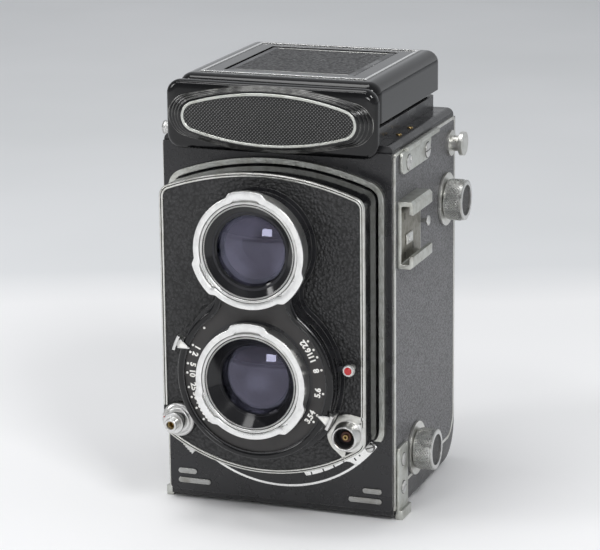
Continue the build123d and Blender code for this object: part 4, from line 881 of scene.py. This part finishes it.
# ---------------------------------------------------------------- pieces of the body
class CAMERA_OT_nameplate(bpy.types.Operator):
    """Shapes the terraced housing over the lenses and its bare woven badge"""

    bl_idname = "camera_dressing.nameplate"
    bl_label = "Nameplate"

    def execute(self, context):
        block = [
            (-0.6, 1.8), (-0.15, 1.95), (0, 2.4), (0, 3.3), (-0.12, 3.95), (-0.46, 4.55),
            (-1.0, 4.98), (-1.6, 5.2), (-2.6, 5.3),
        ]
        parts = [capped(box_outline(35.0, 11.0, 4.6, 0, BADGE_Z, 10), block)]
        terraces = (
            (33.7, 10.1, 6.7, 5.15, 5.75),
            (32.5, 9.8, 6.35, 5.7, 6.2),
            (31.3, 9.5, 6.0, 6.15, 6.6),
            (30.2, 9.15, 5.6, 6.55, 6.95),
        )
        for half, tall, end, low, high in terraces:
            step = [
                (0.42, low - 0.02), (0.2, low + 0.04), (0.05, low + 0.14), (0, low + 0.24),
                (-0.03, high - 0.2), (-0.12, high - 0.07), (-0.3, high), (-1.6, high + 0.02),
            ]
            parts.append(capped(oval_outline(half, tall, end, BADGE_Z), step))
        parts.append(slab((-30.4, side_y(-2.2), 117.95), (30.4, side_y(-0.02), 118.6), 0.1))
        hinge_length = 7.8
        for left in (-28.0, 20.2):
            right = left + hinge_length
            hinge = [
                (left, 0.67), (left, 1.1), (left + 0.1, 1.2), (right - 0.1, 1.2), (right, 1.1),
                (right, 0.67),
            ]
            parts.append(lathe(side_y(-0.2), 137.6, hinge, 32, along_right))
            parts.append(slab((left, side_y(-2.2), 136.9), (right, side_y(-1.0), 138.3)))
        piece(
            "nameplate_shell", merge(*parts), "gloss_enamel", "camera_body",
            ("nameplate_housing",), 50,
        )
        rim = [
            (-0.02, 6.5), (0.0, 7.05), (-0.12, 7.26), (-0.4, 7.35), (-0.72, 7.33), (-0.93, 7.2),
            (-1.0, 7.0), (-1.0, 6.5),
        ]
        piece(
            "badge_rim", sweep(oval_outline(29.1, 8.6, 5.0, BADGE_Z), rim), "worn_alloy",
            "camera_body", ("name_badge",), 60,
        )
        ground = [(0, 6.5), (0, 7.02), (-0.3, 7.05)]
        piece(
            "badge_ground", capped(oval_outline(28.2, 7.7, 4.1, BADGE_Z), ground), "badge_weave",
            "camera_body",
        )
        return {"FINISHED"}


class CAMERA_OT_lid(bpy.types.Operator):
    """Lays bright metal strips along the back and the front edge of the sports finder's frame in
    the lid: edge wear, and partly a painted highlight
    """

    bl_idname = "camera_dressing.lid"
    bl_label = "Lid"

    def execute(self, context):
        low, high = (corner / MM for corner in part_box("finder_leather"))
        foot, top = high.z - 0.3, high.z + 0.12
        # Painted highlight along the frame's edges, partly edge wear: two thin bright strips.
        back = slab((low.x, high.y + 0.1, foot), (high.x, high.y + 0.75, top), 0.12)
        front = slab((low.x, low.y - 0.5, foot), (high.x, low.y - 0.1, top - 0.04), 0.1)
        piece("finder_wear_and_highlight", merge(back, front), "strip_alloy", "lid", (), 35)
        return {"FINISHED"}


# ---------------------------------------------------------------- pieces of the lens board
class CAMERA_OT_board_rim(bpy.types.Operator):
    """Lays the plated strip round the lens board, with its ear round the flash socket"""

    bl_idname = "camera_dressing.board_rim"
    bl_label = "Board rim"

    def execute(self, context):
        section = [
            (0.06, 13.6), (0.07, 14.45), (-0.03, 14.72), (-0.16, 14.82), (-0.42, 14.82),
            (-0.5, 14.6), (-0.68, 14.6), (-0.76, 14.78), (-1.08, 14.78), (-1.26, 14.7),
            (-1.36, 14.5), (-1.36, 14.3), (-0.2, 14.2), (-0.2, 13.6),
        ]
        collar_reach = 6.1  # the strip stops this near to the release collar

        def clear(item):
            (x, z), _ = item
            return hypot(x + BOSS_X, z - BOSS_Z) >= collar_reach

        line = board_outline()
        start = next(k for k, item in enumerate(line) if clear(item) and not clear(line[k - 1]))
        run = [item for item in line[start:] + line[:start] if clear(item)]
        loops = [
            [along_front(p[0] + n[0] * off, p[1] + n[1] * off, depth) for off, depth in section]
            for p, n in run
        ]
        verts, faces = band(loops, closed=False)
        count = len(section)
        faces.append(tuple(range(count - 1, -1, -1)))
        faces.append(tuple(range((len(run) - 1) * count, len(run) * count)))

        first, last, steps = 47, 262, 64
        ear_width, flare, flare_run = 6.9, 1.3, 30
        least_width, bore, drum_reach = 5.72, 4.3, DRUM_RADIUS + 1.65
        inner, outer = [], []
        for k in range(steps + 1):
            angle = first + (last - first) * k / steps
            run_out = min(1.0, min(angle - first, last - angle) / flare_run)
            reach = ear_width + flare * (1 - run_out) ** 2
            x, z = polar(reach, angle, BOSS_X, BOSS_Z)
            while hypot(x, z - TAKING_Z) < drum_reach and reach > least_width:
                reach -= 0.02
                x, z = polar(reach, angle, BOSS_X, BOSS_Z)
            inner.append(polar(bore, angle, BOSS_X, BOSS_Z))
            outer.append((x, z))
        ear = flat(outer + inner[::-1], 14.3, 14.78, 0.1)
        piece(
            "board_rim_strip", merge((verts, faces), ear), "strip_alloy", "front_board",
            (), 45,
        )
        return {"FINISHED"}


class CAMERA_OT_dial(bpy.types.Operator):
    """Lays the dull field on the shutter housing, with its numbers and dots"""

    bl_idname = "camera_dressing.dial"
    bl_label = "Dial"

    def execute(self, context):
        outline = eight_outline()
        bead = [
            (0.03, 20.6), (0.04, FIELD), (-0.12, 21.75), (-0.45, 22.08), (-0.9, 22.24),
            (-1.4, 22.25), (-1.85, 22.1), (-2.2, 21.8), (-2.42, 21.45), (-2.46, 21.1), (-1.2, 21.0),
        ]
        rim = sweep(outline, bead)
        piece("housing_bead", rim, "gloss_enamel", "front_board", (), 60)
        inset = 2.5
        sunk = [((p[0] - n[0] * inset, p[1] - n[1] * inset), n) for p, n in outline]
        holes = [ring_outline(19.35, 96, 0, TAKING_Z), ring_outline(18.1, 96, 0, VIEWING_Z)]
        field = plate([sunk, *holes], 21.2, 21.34)
        piece("dial_field", field, "field_enamel", "front_board")

        digit_share = 0.7  # a digit's height as a share of the font's size
        size = context.scene.camera_detail.digit_height / MM / digit_share
        number_radius, dot_radius = 21.05, 22.75
        dot = [(0, FIELD), (0, 21.4), (-0.08, 21.44)]
        scales = {
            "speed": {
                137.2: "", 155.2: "1", 161.6: "2", 171.4: "5", 179.2: "10", 191.2: "25",
                199.6: "50", 209.2: "100", 219.8: "300",
            },
            "aperture": {
                38.4: "22", 30.4: "16", 24.0: "11", 13.2: "8", -6.2: "5.6", -25.0: "4",
                -31.4: "3.5",
            },
        }
        for name, marks in scales.items():
            parts = []
            for angle, text in marks.items():
                if text:
                    x, z = polar(number_radius, angle, 0, TAKING_Z)
                    parts.append(number(text, size, x, z, angle + 90, FIELD, 21.42))
                spot = ring_outline(0.4, 16, *polar(dot_radius, angle, 0, TAKING_Z))
                parts.append(capped(spot, dot))
            piece(f"{name}_numbers", merge(*parts), "white_enamel", "front_board")
        return {"FINISHED"}


class CAMERA_OT_levers(bpy.types.Operator):
    """Makes the speed, aperture and self-timer levers"""

    bl_idname = "camera_dressing.levers"
    bl_label = "Levers"

    def execute(self, context):
        neck = [(26.4, -1.1), (27.5, -0.9), (27.5, 0.9), (26.4, 1.1)]
        pointer = [(23.0, -0.12), (26.9, -1.65), (26.9, 1.65), (23.0, 0.12)]
        enamel = [(23.75, -0.05), (26.45, -1.12), (26.45, 1.12), (23.75, 0.05)]
        for name, angle in (("speed", 158.0), ("aperture", -23.8)):
            place, body = swung(angle), f"{name}_arm"
            finger = merge(
                flat(sector(21.7, 27.9, 3.2), 19.25, 19.95, 0.08, place),
                flat(sector(27.15, 28.15, 5.2), 19.25, 23.7, 0.22, place),
                flat(neck, 22.35, 22.8, 0.08, place),
                flat(pointer, 22.32, 22.86, 0.1, place),
            )
            lever = (f"{name}_lever",)
            piece(f"{name}_finger", finger, "satin_chrome", body, lever, 40)
            inlay = flat(enamel, 22.8, 22.9, 0.0, place)
            piece(f"{name}_pointer_enamel", inlay, "white_enamel", body)

        angle, reach = 10.2, 31.2
        x, z = polar(reach, angle, 0, TAKING_Z)
        taper = [(21.9, -1.0), (reach, -0.8), (reach, 0.8), (21.9, 1.0)]
        stem = flat(taper, 16.45, 17.15, 0.08, swung(angle))
        piece("timer_arm_plate", stem, "dark_steel", "timer_arm", (), 35)
        head = [
            (-0.85, 16.45), (-0.85, 19.3), (-0.1, 19.6), (0, 19.8), (0, 20.9), (-0.22, 21.2),
            (-0.62, 21.26), (-0.7, 21.1),
        ]
        piece(
            "timer_finger", capped(toothed(1.95, 0.16, 20, x, z), head), "satin_chrome",
            "timer_arm", ("selftimer_lever",), 35,
        )
        bead = [(0, 21.0), (0, 21.24), (-0.25, 21.38), (-0.7, 21.46)]
        dot = capped(ring_outline(1.24, 28, x, z), bead)
        piece("timer_dot", dot, "red_enamel", "timer_arm")
        return {"FINISHED"}


class CAMERA_OT_release(bpy.types.Operator):
    """Turns the knurled release collar, its plunger and the flash socket"""

    bl_idname = "camera_dressing.release"
    bl_label = "Release and flash socket"

    def execute(self, context):
        x, z = -BOSS_X, BOSS_Z
        wheel = [(-2.0, 13.95), (-0.1, 13.95), (0, 14.1), (0, 16.1), (-0.12, 16.25), (-2.0, 16.25)]
        cap = [
            (14.2, 2.8), (14.2, 4.9), (16.2, 5.2), (16.45, 5.12), (16.7, 4.7), (16.75, 4.5),
            (16.6, 4.38), (16.6, 4.2), (16.78, 4.08), (16.95, 3.9), (17.05, 3.3), (17.0, 2.95),
            (16.9, 2.8),
        ]
        collar = merge(sweep(toothed(5.6, 0.28, 72, x, z), wheel), lathe(x, z, cap))
        piece(
            "release_wheel", collar, "satin_chrome", "release_ring",
            ("release_collar",), 40,
        )
        dot = [(0, 16.6), (0, 16.76), (-0.1, 16.8)]
        mark = capped(ring_outline(0.3, 12, x - 4.55, z + 0.6), dot)
        piece("release_mark", mark, "red_enamel", "release_ring")
        tube = [
            (12.6, 0.6), (12.6, 2.6), (19.7, 2.6), (19.75, 3.35), (19.9, 3.5), (20.25, 3.5),
            (20.5, 3.3), (20.55, 2.25), (20.7, 2.1),
        ]
        for groove in (20.95, 21.5, 22.05):
            tube += [
                (groove, 2.1), (groove + 0.15, 1.96), (groove + 0.35, 1.96), (groove + 0.5, 2.1)
            ]
        tube += [(22.85, 2.1), (23.0, 1.95), (23.0, 1.45), (22.8, 1.3), (20.0, 1.25), (19.6, 0.6)]
        piece(
            "release_plunger_tube", lathe(x, z, tube, 56), "satin_chrome", "release_plunger",
            ("release_button",), 40,
        )
        cone = [(-0.9, 19.7), (-0.05, 19.75), (-0.05, 21.4), (-0.32, 21.4), (-0.75, 20.1)]
        thread = capped(ring_outline(1.3, 28, x, z), cone)
        piece("release_thread", thread, "brass", "release_plunger")

        x = BOSS_X
        shell = [
            (13.9, 2.7), (13.9, 5.58), (14.66, 5.58), (14.76, 5.5), (14.78, 4.75), (14.9, 4.5),
            (15.3, 4.4), (15.6, 4.25), (18.3, 4.1), (18.75, 4.0), (18.98, 3.8), (19.0, 3.62),
            (18.85, 3.4), (18.4, 3.25), (15.2, 3.2), (15.0, 2.7),
        ]
        piece(
            "sync_shell", lathe(x, z, shell), "satin_chrome", "front_board",
            ("sync_socket",), 40,
        )
        bowl = [(0, 14.9), (0, 18.2), (-0.2, 18.2), (-0.26, 15.3), (-1.2, 15.2)]
        cup = capped(ring_outline(3.24, 40, x, z), bowl)
        piece("sync_cup", cup, "matte_black", "front_board")
        stub = [(0, 15.5), (0, 16.3), (-0.15, 16.45)]
        insulator = capped(ring_outline(1.75, 40, x, z), stub)
        piece("sync_insulator", insulator, "brown_insulator", "front_board")
        pin = [(15.5, 0.35), (15.5, 0.95), (17.1, 0.95), (17.3, 0.85), (17.3, 0.5), (17.1, 0.35)]
        pin_shape = lathe(x, z, pin, 32)
        piece("sync_pin", pin_shape, "brass", "front_board", (), 40)
        return {"FINISHED"}


class CAMERA_OT_crescent(bpy.types.Operator):
    """Fills the crescent scale plate and marks it"""

    bl_idname = "camera_dressing.crescent"
    bl_label = "Crescent scale"

    def execute(self, context):
        def at(radius, angle):
            return polar(radius, angle, 0, TAKING_Z)

        # The outer arc from left to right, then back along the right end and the inner arc.
        edge = [at(41.05, -128.7 + 77.7 * k / 60) for k in range(61)]
        edge += [at(39.6, -52.0), at(38.7, -53.5)]
        edge += [at(38.5, -55 - 21 * k / 10) for k in range(11)]
        edge += [at(33.0, -80 - 48.7 * k / 20) for k in range(21)]
        inset = flat(edge, 0.5, 0.6)
        piece("scale_inset", inset, "satin_enamel", "camera_body")
        wide = 0.3  # half a tick's width, in degrees
        ticks = [
            flat(
                [at(low, a - wide), at(high, a - wide), at(high, a + wide), at(low, a + wide)],
                0.5, 0.6,
            )
            for a, low, high in (
                (-49.2, 39.2, 40.3), (-46.2, 39.4, 40.0), (-54.8, 37.6, 38.5),
                (-60.5, 37.5, 38.5), (-66.5, 37.5, 38.5), (-73.0, 37.5, 38.5),
            )
        ]
        piece("scale_ticks", merge(*ticks), "matte_black", "camera_body")
        screw = (along_front, *at(40.2, -39.5), 0.98, 1.3, 0.5, 20, 0.24)
        screw_set("scale_screw", [screw], "satin_chrome")
        return {"FINISHED"}


class CAMERA_OT_lenses(bpy.types.Operator):
    """Adds the retaining rings, the inner lens elements and the bright ledges"""

    bl_idname = "camera_dressing.lenses"
    bl_label = "Lenses"

    def execute(self, context):
        ledge = [
            (21.6, 15.15), (21.6, 16.35), (24.6, 16.35), (25.3, 16.26), (25.72, 16.02),
            (25.8, 15.8), (25.78, 15.42), (25.6, 15.22), (25.4, 15.15),
        ]
        serration = [(-0.12, 25.2), (0.0, 25.45), (-0.2, 25.62), (-0.55, 25.6), (-0.6, 25.3)]
        front_radius, inner_radius, deep_radius = 11.68, 9.75, 8.6
        for name, z, back, deep_edge, deep_crown in (
            ("viewing", VIEWING_Z, 22.5, 15.4, 17.5),
            ("taking", TAKING_Z, 20.5, 15.98, 16.5),
        ):
            tooth = [
                (-0.75, back + 0.75), (-0.7, back + 1.35), (-0.45, back + 1.5), (0.0, back + 1.55),
                (0.15, back + 1.3), (0.1, back + 0.8),
            ]
            foot = deep_edge - 0.02
            stop = [
                (foot, 8.5), (deep_edge + 0.2, 8.5), (back - 3.9, 9.5), (back - 2.75, 9.7),
                (back - 2.65, 10.15), (foot, 10.15),
            ]
            face = [(back - 2.5, 11.6)] + dome(back - 0.1, back + 2.0, front_radius, 20)
            low = (FRONT_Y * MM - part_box(f"{name}_bayonet")[1].y) / MM
            bayonet, glass = (f"{name}_bayonet",), (f"{name}_glass",)
            outer_teeth = sweep(toothed(15.16, 0.2, 150, 0, z), serration)
            inner_teeth = sweep(toothed(12.62, 0.18, 110, 0, z), tooth)
            rings = (
                ("lobes", lobed_ring(z, low), "ring_chrome", "bright_metal", bayonet, 35),
                ("ledge", lathe(0, z, ledge), "satin_chrome", "bright_metal", (), 40),
                ("serration", outer_teeth, "steel", "matte_black", (), 20),
                ("retainer", inner_teeth, "dark_steel", "matte_black", (), 20),
                ("stop", lathe(0, z, stop), "matte_black", "matte_black", (), 30),
            )
            for part, shape, finish, slot, replaced, angle in rings:
                piece(f"{name}_{part}", shape, finish, "front_board", replaced, angle)
            elements = (
                ("inner", dome(back - 2.7, back - 3.9, inner_radius, 12), "inner_glass", ()),
                ("front", face, "coated_glass", glass),
                ("deep", dome(deep_edge, deep_crown, deep_radius, 12), "rear_glass", ()),
            )
            for part, profile, finish, replaced in elements:
                piece(
                    f"{name}_{part}_element", disc(0, z, profile), finish, "front_board",
                    replaced, 60,
                )
        return {"FINISHED"}


# ---------------------------------------------------------------- pieces of the sides
class CAMERA_OT_knobs(bpy.types.Operator):
    """Knurls the two film knobs and sets their dark ends"""

    bl_idname = "camera_dressing.knobs"
    bl_label = "Film knobs"

    def execute(self, context):
        count = context.scene.camera_detail.knurl_count
        # A dark tube just above the floor of the knurl's valleys: painted shade in the valleys.
        valley_shade = [(40.2, 6.3), (40.2, 6.6), (45.2, 6.6), (45.2, 6.3)]
        lip = [
            (45.35, 5.2), (45.35, 6.55), (45.6, 6.72), (45.95, 6.66), (46.1, 6.4), (46.12, 5.6),
            (46.02, 5.3), (45.8, 5.2),
        ]
        end = [(45.3, 5.22), (45.52, 5.22), (45.6, 5.0), (45.62, 2.0)]
        for name, y, z in (("takeup", side_y(55.5), 92.5), ("supply", side_y(22.8), 16.5)):
            body = f"{name}_puller"
            grime_and_shade = lathe(y, z, valley_shade, 72, along_right)
            piece(f"{name}_grime", grime_and_shade, "grime_and_shade", body)
            sleeve = knurled_sleeve(
                y, z, 39.95, 45.5, radius=6.5, height=0.42, count=count, rows=6
            )
            knurl = merge(sleeve, lathe(y, z, lip, 72, along_right))
            piece(f"{name}_knurl", knurl, "knurl_metal", body, (), 30)
            cover = disc(y, z, end, 48, along_right)
            piece(f"{name}_end", cover, "rough_black", body)
        return {"FINISHED"}


class CAMERA_OT_screws(bpy.types.Operator):
    """Lays the strap and foot plates and sets the slotted screws of sides and deck"""

    bl_idname = "camera_dressing.screws"
    bl_label = "Screws"

    def execute(self, context):
        heads = [
            (along_right, side_y(12.6), 113.8, 39.8, 2.45, 0.5, 62, 0.16),
            (along_right, side_y(32.2), 113.8, 39.8, 2.45, 0.5, 4, 0.16),
        ]
        strap = [
            (side_y(5.6), 110.8), (side_y(33.5), 110.8), (side_y(37.6), 118.0), (side_y(5.6), 118.0)
        ]
        plates = [
            plate([rounded(strap, 2.6)], 38.8, 39.85, 0.12, along_right),
            slab((38.8, side_y(10.0), 117.6), (40.5, side_y(43.5), 118.9), 0.2),
        ]
        front, back = side_y(2.5), side_y(11.9)
        foot = rounded([(front, 0.6), (back, 0.6), (back, 22.6), (front, 22.6)], 1.6)
        for place, left, right, turns in (
            (along_right, 38.35, 40.95, (62, 20)),
            (along_left, -40.95, -38.35, (110, 35)),
        ):
            plates.append(plate([foot], 38.8, 39.75, 0.12, place))
            plates.append(slab((left, front, -1.6), (right, back, 1.7), 0.35))
            for z, turn in zip((17.6, 8.2), turns):
                heads.append((place, side_y(7.2), z, 39.7, 2.0, 0.5, turn, 0.18))
        piece(
            "side_plates", merge(*plates), "worn_alloy", "camera_body",
            ("strap_plate", "foot_plates"), 40,
        )
        screw_set("side_screws", heads, "satin_chrome")
        deck_z = 120.9
        deck = [
            (along_top, x, y, deck_z, 0.95, 0.5, turn, 0.25)
            for x, y, turn in (
                (34.6, -19.6, 30), (34.6, -8.0, 75), (-34.6, -19.6, 10), (-34.6, -8.0, 120)
            )
        ]
        screw_set("deck_screws", deck, "brass")
        return {"FINISHED"}


class CAMERA_OT_bars(bpy.types.Operator):
    """Faces the four bars low on the front with stippled metal"""

    bl_idname = "camera_dressing.bars"
    bl_label = "Front bars"

    def execute(self, context):
        section = [(0, -0.1), (0, 0.3), (-0.1, 0.42), (-0.3, 0.45)]
        half_height, corner = 0.87, 0.86
        faces = []
        for left, right, z in (
            (-35.3, -28.9, 8.4), (-35.3, -24.1, 5.2), (28.4, 34.7, 8.2), (23.6, 34.7, 4.9)
        ):
            half, middle = (right - left) / 2 + 0.02, (left + right) / 2
            bar = box_outline(half, half_height, corner, middle, z)
            faces.append(capped(bar, section))
        piece("front_bars", merge(*faces), "bar_alloy", "camera_body", (), 35)
        return {"FINISHED"}


class CAMERA_OT_shoe(bpy.types.Operator):
    """Forms the accessory shoe with its lips, spring, slots and stop pin"""

    bl_idname = "camera_dressing.shoe"
    bl_label = "Accessory shoe"

    def execute(self, context):
        middle_z = 92.1

        def cross(u, v, h):
            """A point of the shoe's cross-section, which is drawn out along Y."""
            return Vector((SIDE_X + u, h, middle_z + v)) * MM

        def block(low, high, radius):
            """Block between corners of (height over the leather, depth, z)."""
            (u, d, z), (u2, d2, z2) = low, high
            return slab((SIDE_X + u, side_y(d), z), (SIDE_X + u2, side_y(d2), z2), radius)

        half = [
            (0.0, -10.8), (4.3, -10.8), (5.2, -9.9), (5.2, -6.7), (3.9, -6.7), (3.9, -9.3),
            (1.5, -9.3), (1.3, -9.1),
        ]
        section = half + [(u, -v) for u, v in reversed(half)]
        shoe = flat(section, side_y(3.6), side_y(24.2), 0.16, cross)
        piece(
            "shoe_body", shoe, "cast_alloy", "camera_body", ("accessory_shoe",), 35
        )
        spring = block((1.35, 8.0, 88.2), (1.95, 14.2, 91.6), 0.25)
        piece("shoe_spring", spring, "strip_alloy", "camera_body", (), 35)
        # The bed inside the shoe is a darker, yellower alloy than the shoe.
        bed = block((1.2, 4.1, 83.2), (1.36, 23.6, 101.0), 0.06)
        piece("shoe_bed", bed, "dark_bed_alloy", "camera_body", (), 35)
        rivet = screw_head(along_right, side_y(9.9), 89.7, SIDE_X + 1.85, 0.9, 0.4, 60, 0.22)
        pin = [
            (-0.1, 0.05), (-0.1, 0.8), (2.1, 0.8), (2.3, 1.55), (2.5, 1.7), (2.85, 1.62),
            (3.0, 1.3), (3.0, 0.05),
        ]
        raised = [(SIDE_X + u, r) for u, r in pin]
        pins = merge(rivet, lathe(side_y(28.0), 91.6, raised, 32, along_right))
        piece("shoe_pins", pins, "satin_chrome", "camera_body", (), 40)
        slots = [
            block((1.1, depth, z), (1.4, depth + 0.7, z + 2.1), 0.1)
            for depth, z in ((7.0, 96.4), (7.2, 83.9), (15.5, 85.3), (16.0, 97.6))
        ]
        piece("shoe_slots", merge(*slots), "matte_black", "camera_body")
        return {"FINISHED"}


class CAMERA_OT_left_side(bpy.types.Operator):
    """Dresses the winding crank and the frame counter"""

    bl_idname = "camera_dressing.left_side"
    bl_label = "Left side"

    def execute(self, context):
        y, z = side_y(26.0), 117.2
        ends = [
            (-43.3, 1.1), (-43.3, 2.2), (-43.5, 2.35), (-43.7, 2.2), (-48.2, 2.1), (-48.4, 2.32),
            (-48.62, 2.2), (-48.64, 1.4), (-49.1, 1.3), (-49.22, 1.0), (-49.24, 0.1), (-48.3, 0.1),
            (-48.1, 1.1),
        ]
        grip = merge(
            knurled_sleeve(y, z, -48.45, -43.4, radius=2.05, height=0.3, count=16, rows=5),
            lathe(y, z, ends, 36, along_right),
        )
        piece("grip_knurl", grip, "satin_chrome", "grip", ("crank_grip",), 30)
        y, z = side_y(48.0), 72.0
        bezel = [
            (-38.8, 3.3), (-38.8, 5.0), (-39.8, 5.0), (-39.95, 4.85), (-39.98, 4.4), (-39.9, 3.9),
            (-39.6, 3.4),
        ]
        piece(
            "counter_bezel", lathe(y, z, bezel, 56, along_right), "bright_chrome", "camera_body",
            ("frame_counter",), 40,
        )
        face = disc(y, z, [(-39.0, 3.5), (-39.3, 3.5), (-39.32, 3.3)], 48, along_right)
        piece("counter_disc", face, "matte_black", "camera_body")

        def mirrored(u, v, depth):
            """The left side's plane turned over, so that a digit reads the right way."""
            return along_left(2 * y - u, v, depth)

        digit = number("6", 3.4, y, z, 0.0, 39.3, 39.42, 0.06, mirrored)
        near, far, low, high = y + 2.6, y + 3.2, z - 0.12, z + 0.12
        tick = outline_of([(near, low), (far, low), (far, high), (near, high)])
        marks = merge(digit, capped(tick, [(0, 39.3), (0, 39.42)], along_left))
        piece("counter_digits", marks, "white_enamel", "camera_body")
        pane = [(-39.5, 3.45), (-39.62, 3.45), (-39.78, 2.4), (-39.84, 0.2)]
        window = disc(y, z, pane, 48, along_right)
        piece("counter_window", window, "clear_glass", "camera_body", (), 60)
        return {"FINISHED"}


# ---------------------------------------------------------------- stage
def lay_backdrop(scene):
    """Wide paper floor that bends up all round, painted darker away from the viewer as painted
    shade where a wall would stand.
    """
    floor_z = CAD_BOX[0][2]
    reach, bend = 3.0, 0.15
    profile = [(0.02, 0.0), (0.6, 0.0), (reach, 0.0)]
    for w in range(10, 91, 10):
        profile.append((reach + bend * sin(radians(w)), bend * (1 - cos(radians(w)))))
    around = spokes(72)
    loops = [[(r * c, -r * s, floor_z + h) for c, s in around] for r, h in profile]
    verts, faces = band(loops, closed=False)
    faces.append(tuple(range(len(around) - 1, -1, -1)))
    mesh = bpy.data.meshes.new("backdrop")
    mesh.from_pydata(verts, [], faces)
    for polygon in mesh.polygons:
        polygon.use_smooth = True
    backdrop = bpy.data.objects.new("backdrop", mesh)
    scene.collection.objects.link(backdrop)

    paper = Finish("paper", (0.80, 0.81, 0.83), roughness=0.9)
    where = paper.split(paper.where)
    wave = paper.times(paper.noise(0.14, 2.0), 0.05)
    sideways, backwards = -0.342, 0.94  # one step straight away from the viewer
    across = paper.times(where["X"], sideways)
    along = paper.times(where["Y"], backwards)
    behind = paper.math("ADD", paper.math("ADD", across, along), wave)
    # Painted shade: beyond this soft blend the paper is darker, standing in for a wall in shade.
    seam_start, seam_end = 0.245, 0.30
    painted_wall_shade = paper.ramp(behind, seam_start, seam_end)
    cloud = paper.ramp(paper.noise(0.35), 0.3, 0.7)
    near = paper.blend(cloud, (0.86, 0.86, 0.865), (0.93, 0.93, 0.935))
    far = paper.blend(cloud, (0.72, 0.735, 0.745), (0.80, 0.81, 0.825))
    paper.colour(paper.blend(painted_wall_shade, near, far))
    mesh.materials.append(paper.material)


def light_sky(scene):
    """Soft sky whose strength is a sum of ramps, each over a range of one axis."""
    world = bpy.data.worlds.new("studio")
    scene.world = world
    world.use_nodes = True
    sky = Nodes(world.node_tree)
    where = sky.split(sky.add("ShaderNodeTexCoord").outputs["Generated"])
    first, *others = (
        sky.ramp(where[axis], *limits)
        for axis, *limits in (
            ("Z", -0.3, 0.9, 0.05, 0.30),
            ("X", -0.2, 1.0, 0.0, 0.16),
            ("Y", -0.1, 0.9, 0.0, 0.42),
            ("Z", 0.0, 0.30, 0.24, 0.0),
        )
    )
    total = first
    for ramp in others:
        total = sky.math("ADD", total, ramp)
    sky.feed(sky.tree.nodes["Background"], {"Color": (0.95, 0.97, 1.0), "Strength": total})


def hang_lamps(scene):
    """Five area lamps that face the middle of the camera."""
    aim = Vector((0, -0.01, 0.07))
    for name, place, size, tall, power in (
        ("key_lamp", (0.85, -0.80, 1.05), 0.35, 0.35, 7.8),
        ("fill_lamp", (-1.05, -0.75, 0.60), 0.30, 0.45, 3.7),
        ("top_lamp", (-0.25, -0.10, 1.40), 0.6, 0.6, 5.2),
        ("strip_lamp", (-0.40, -0.68, 1.15), 1.0, 0.10, 3.0),
        ("window_lamp", (-0.02, -1.45, 0.28), 0.26, 0.19, 1.5),
    ):
        lamp = bpy.data.lights.new(name, "AREA")
        lamp.shape = "RECTANGLE"
        lamp.size = size
        lamp.size_y = tall
        lamp.energy = power
        holder = bpy.data.objects.new(name, lamp)
        holder.location = place
        holder.rotation_euler = (aim - Vector(place)).to_track_quat("-Z", "Y").to_euler()
        scene.collection.objects.link(holder)


def set_viewer(scene):
    """The render camera: turned right of the front, lifted and slightly rolled."""
    turn, lift, roll = radians(19.967), radians(14.617), radians(-0.589)
    target = Vector((7.646, -38.0, 77.8)) * MM
    back = Vector((sin(turn) * cos(lift), -cos(turn) * cos(lift), sin(lift)))
    level = (-back).cross(Vector((0, 0, 1))).normalized()
    upright = level.cross(-back)
    right = level * cos(roll) + upright * sin(roll)
    up = upright * cos(roll) - level * sin(roll)
    lens = bpy.data.cameras.new("view")
    lens.lens = 157.97
    lens.sensor_width = 36.0
    viewer = bpy.data.objects.new("view", lens)
    spot = target + back * scene.camera_detail.camera_distance
    basis = Matrix((right, up, back)).transposed().to_4x4()
    viewer.matrix_world = Matrix.Translation(spot) @ basis
    scene.collection.objects.link(viewer)
    scene.camera = viewer


class CAMERA_OT_stage(bpy.types.Operator):
    """Builds the backdrop, the lamps and the render camera"""

    bl_idname = "camera_dressing.stage"
    bl_label = "Stage"

    def execute(self, context):
        scene = context.scene
        lay_backdrop(scene)
        light_sky(scene)
        hang_lamps(scene)
        set_viewer(scene)
        scene.view_settings.view_transform = "Standard"
        return {"FINISHED"}


class CAMERA_PT_dressing(bpy.types.Panel):
    """Lists the settings and the steps that dress the camera"""

    bl_idname = "CAMERA_PT_dressing"
    bl_label = "Camera dressing"
    bl_space_type = "VIEW_3D"
    bl_region_type = "UI"
    bl_category = "Camera"

    def draw(self, context):
        for name in FinishSettings.__annotations__:
            self.layout.prop(context.scene.camera_finish, name)
        for name in DetailSettings.__annotations__:
            self.layout.prop(context.scene.camera_detail, name)
        for step in STEPS:
            self.layout.operator(step.bl_idname)


STEPS = (
    CAMERA_OT_finishes,
    CAMERA_OT_nameplate,
    CAMERA_OT_lid,
    CAMERA_OT_board_rim,
    CAMERA_OT_dial,
    CAMERA_OT_levers,
    CAMERA_OT_release,
    CAMERA_OT_crescent,
    CAMERA_OT_lenses,
    CAMERA_OT_knobs,
    CAMERA_OT_screws,
    CAMERA_OT_bars,
    CAMERA_OT_shoe,
    CAMERA_OT_left_side,
    CAMERA_OT_stage,
)
CLASSES = (FinishSettings, DetailSettings, *STEPS, CAMERA_PT_dressing)


def register():
    for kind in CLASSES:
        bpy.utils.register_class(kind)
    bpy.types.Scene.camera_finish = PointerProperty(type=FinishSettings)
    bpy.types.Scene.camera_detail = PointerProperty(type=DetailSettings)


def unregister():
    del bpy.types.Scene.camera_detail
    del bpy.types.Scene.camera_finish
    for kind in reversed(CLASSES):
        bpy.utils.unregister_class(kind)


def main():
    register()
    for step in STEPS:
        group, action = step.bl_idname.split(".")
        getattr(getattr(bpy.ops, group), action)()


if __name__ == "__main__":
    main()
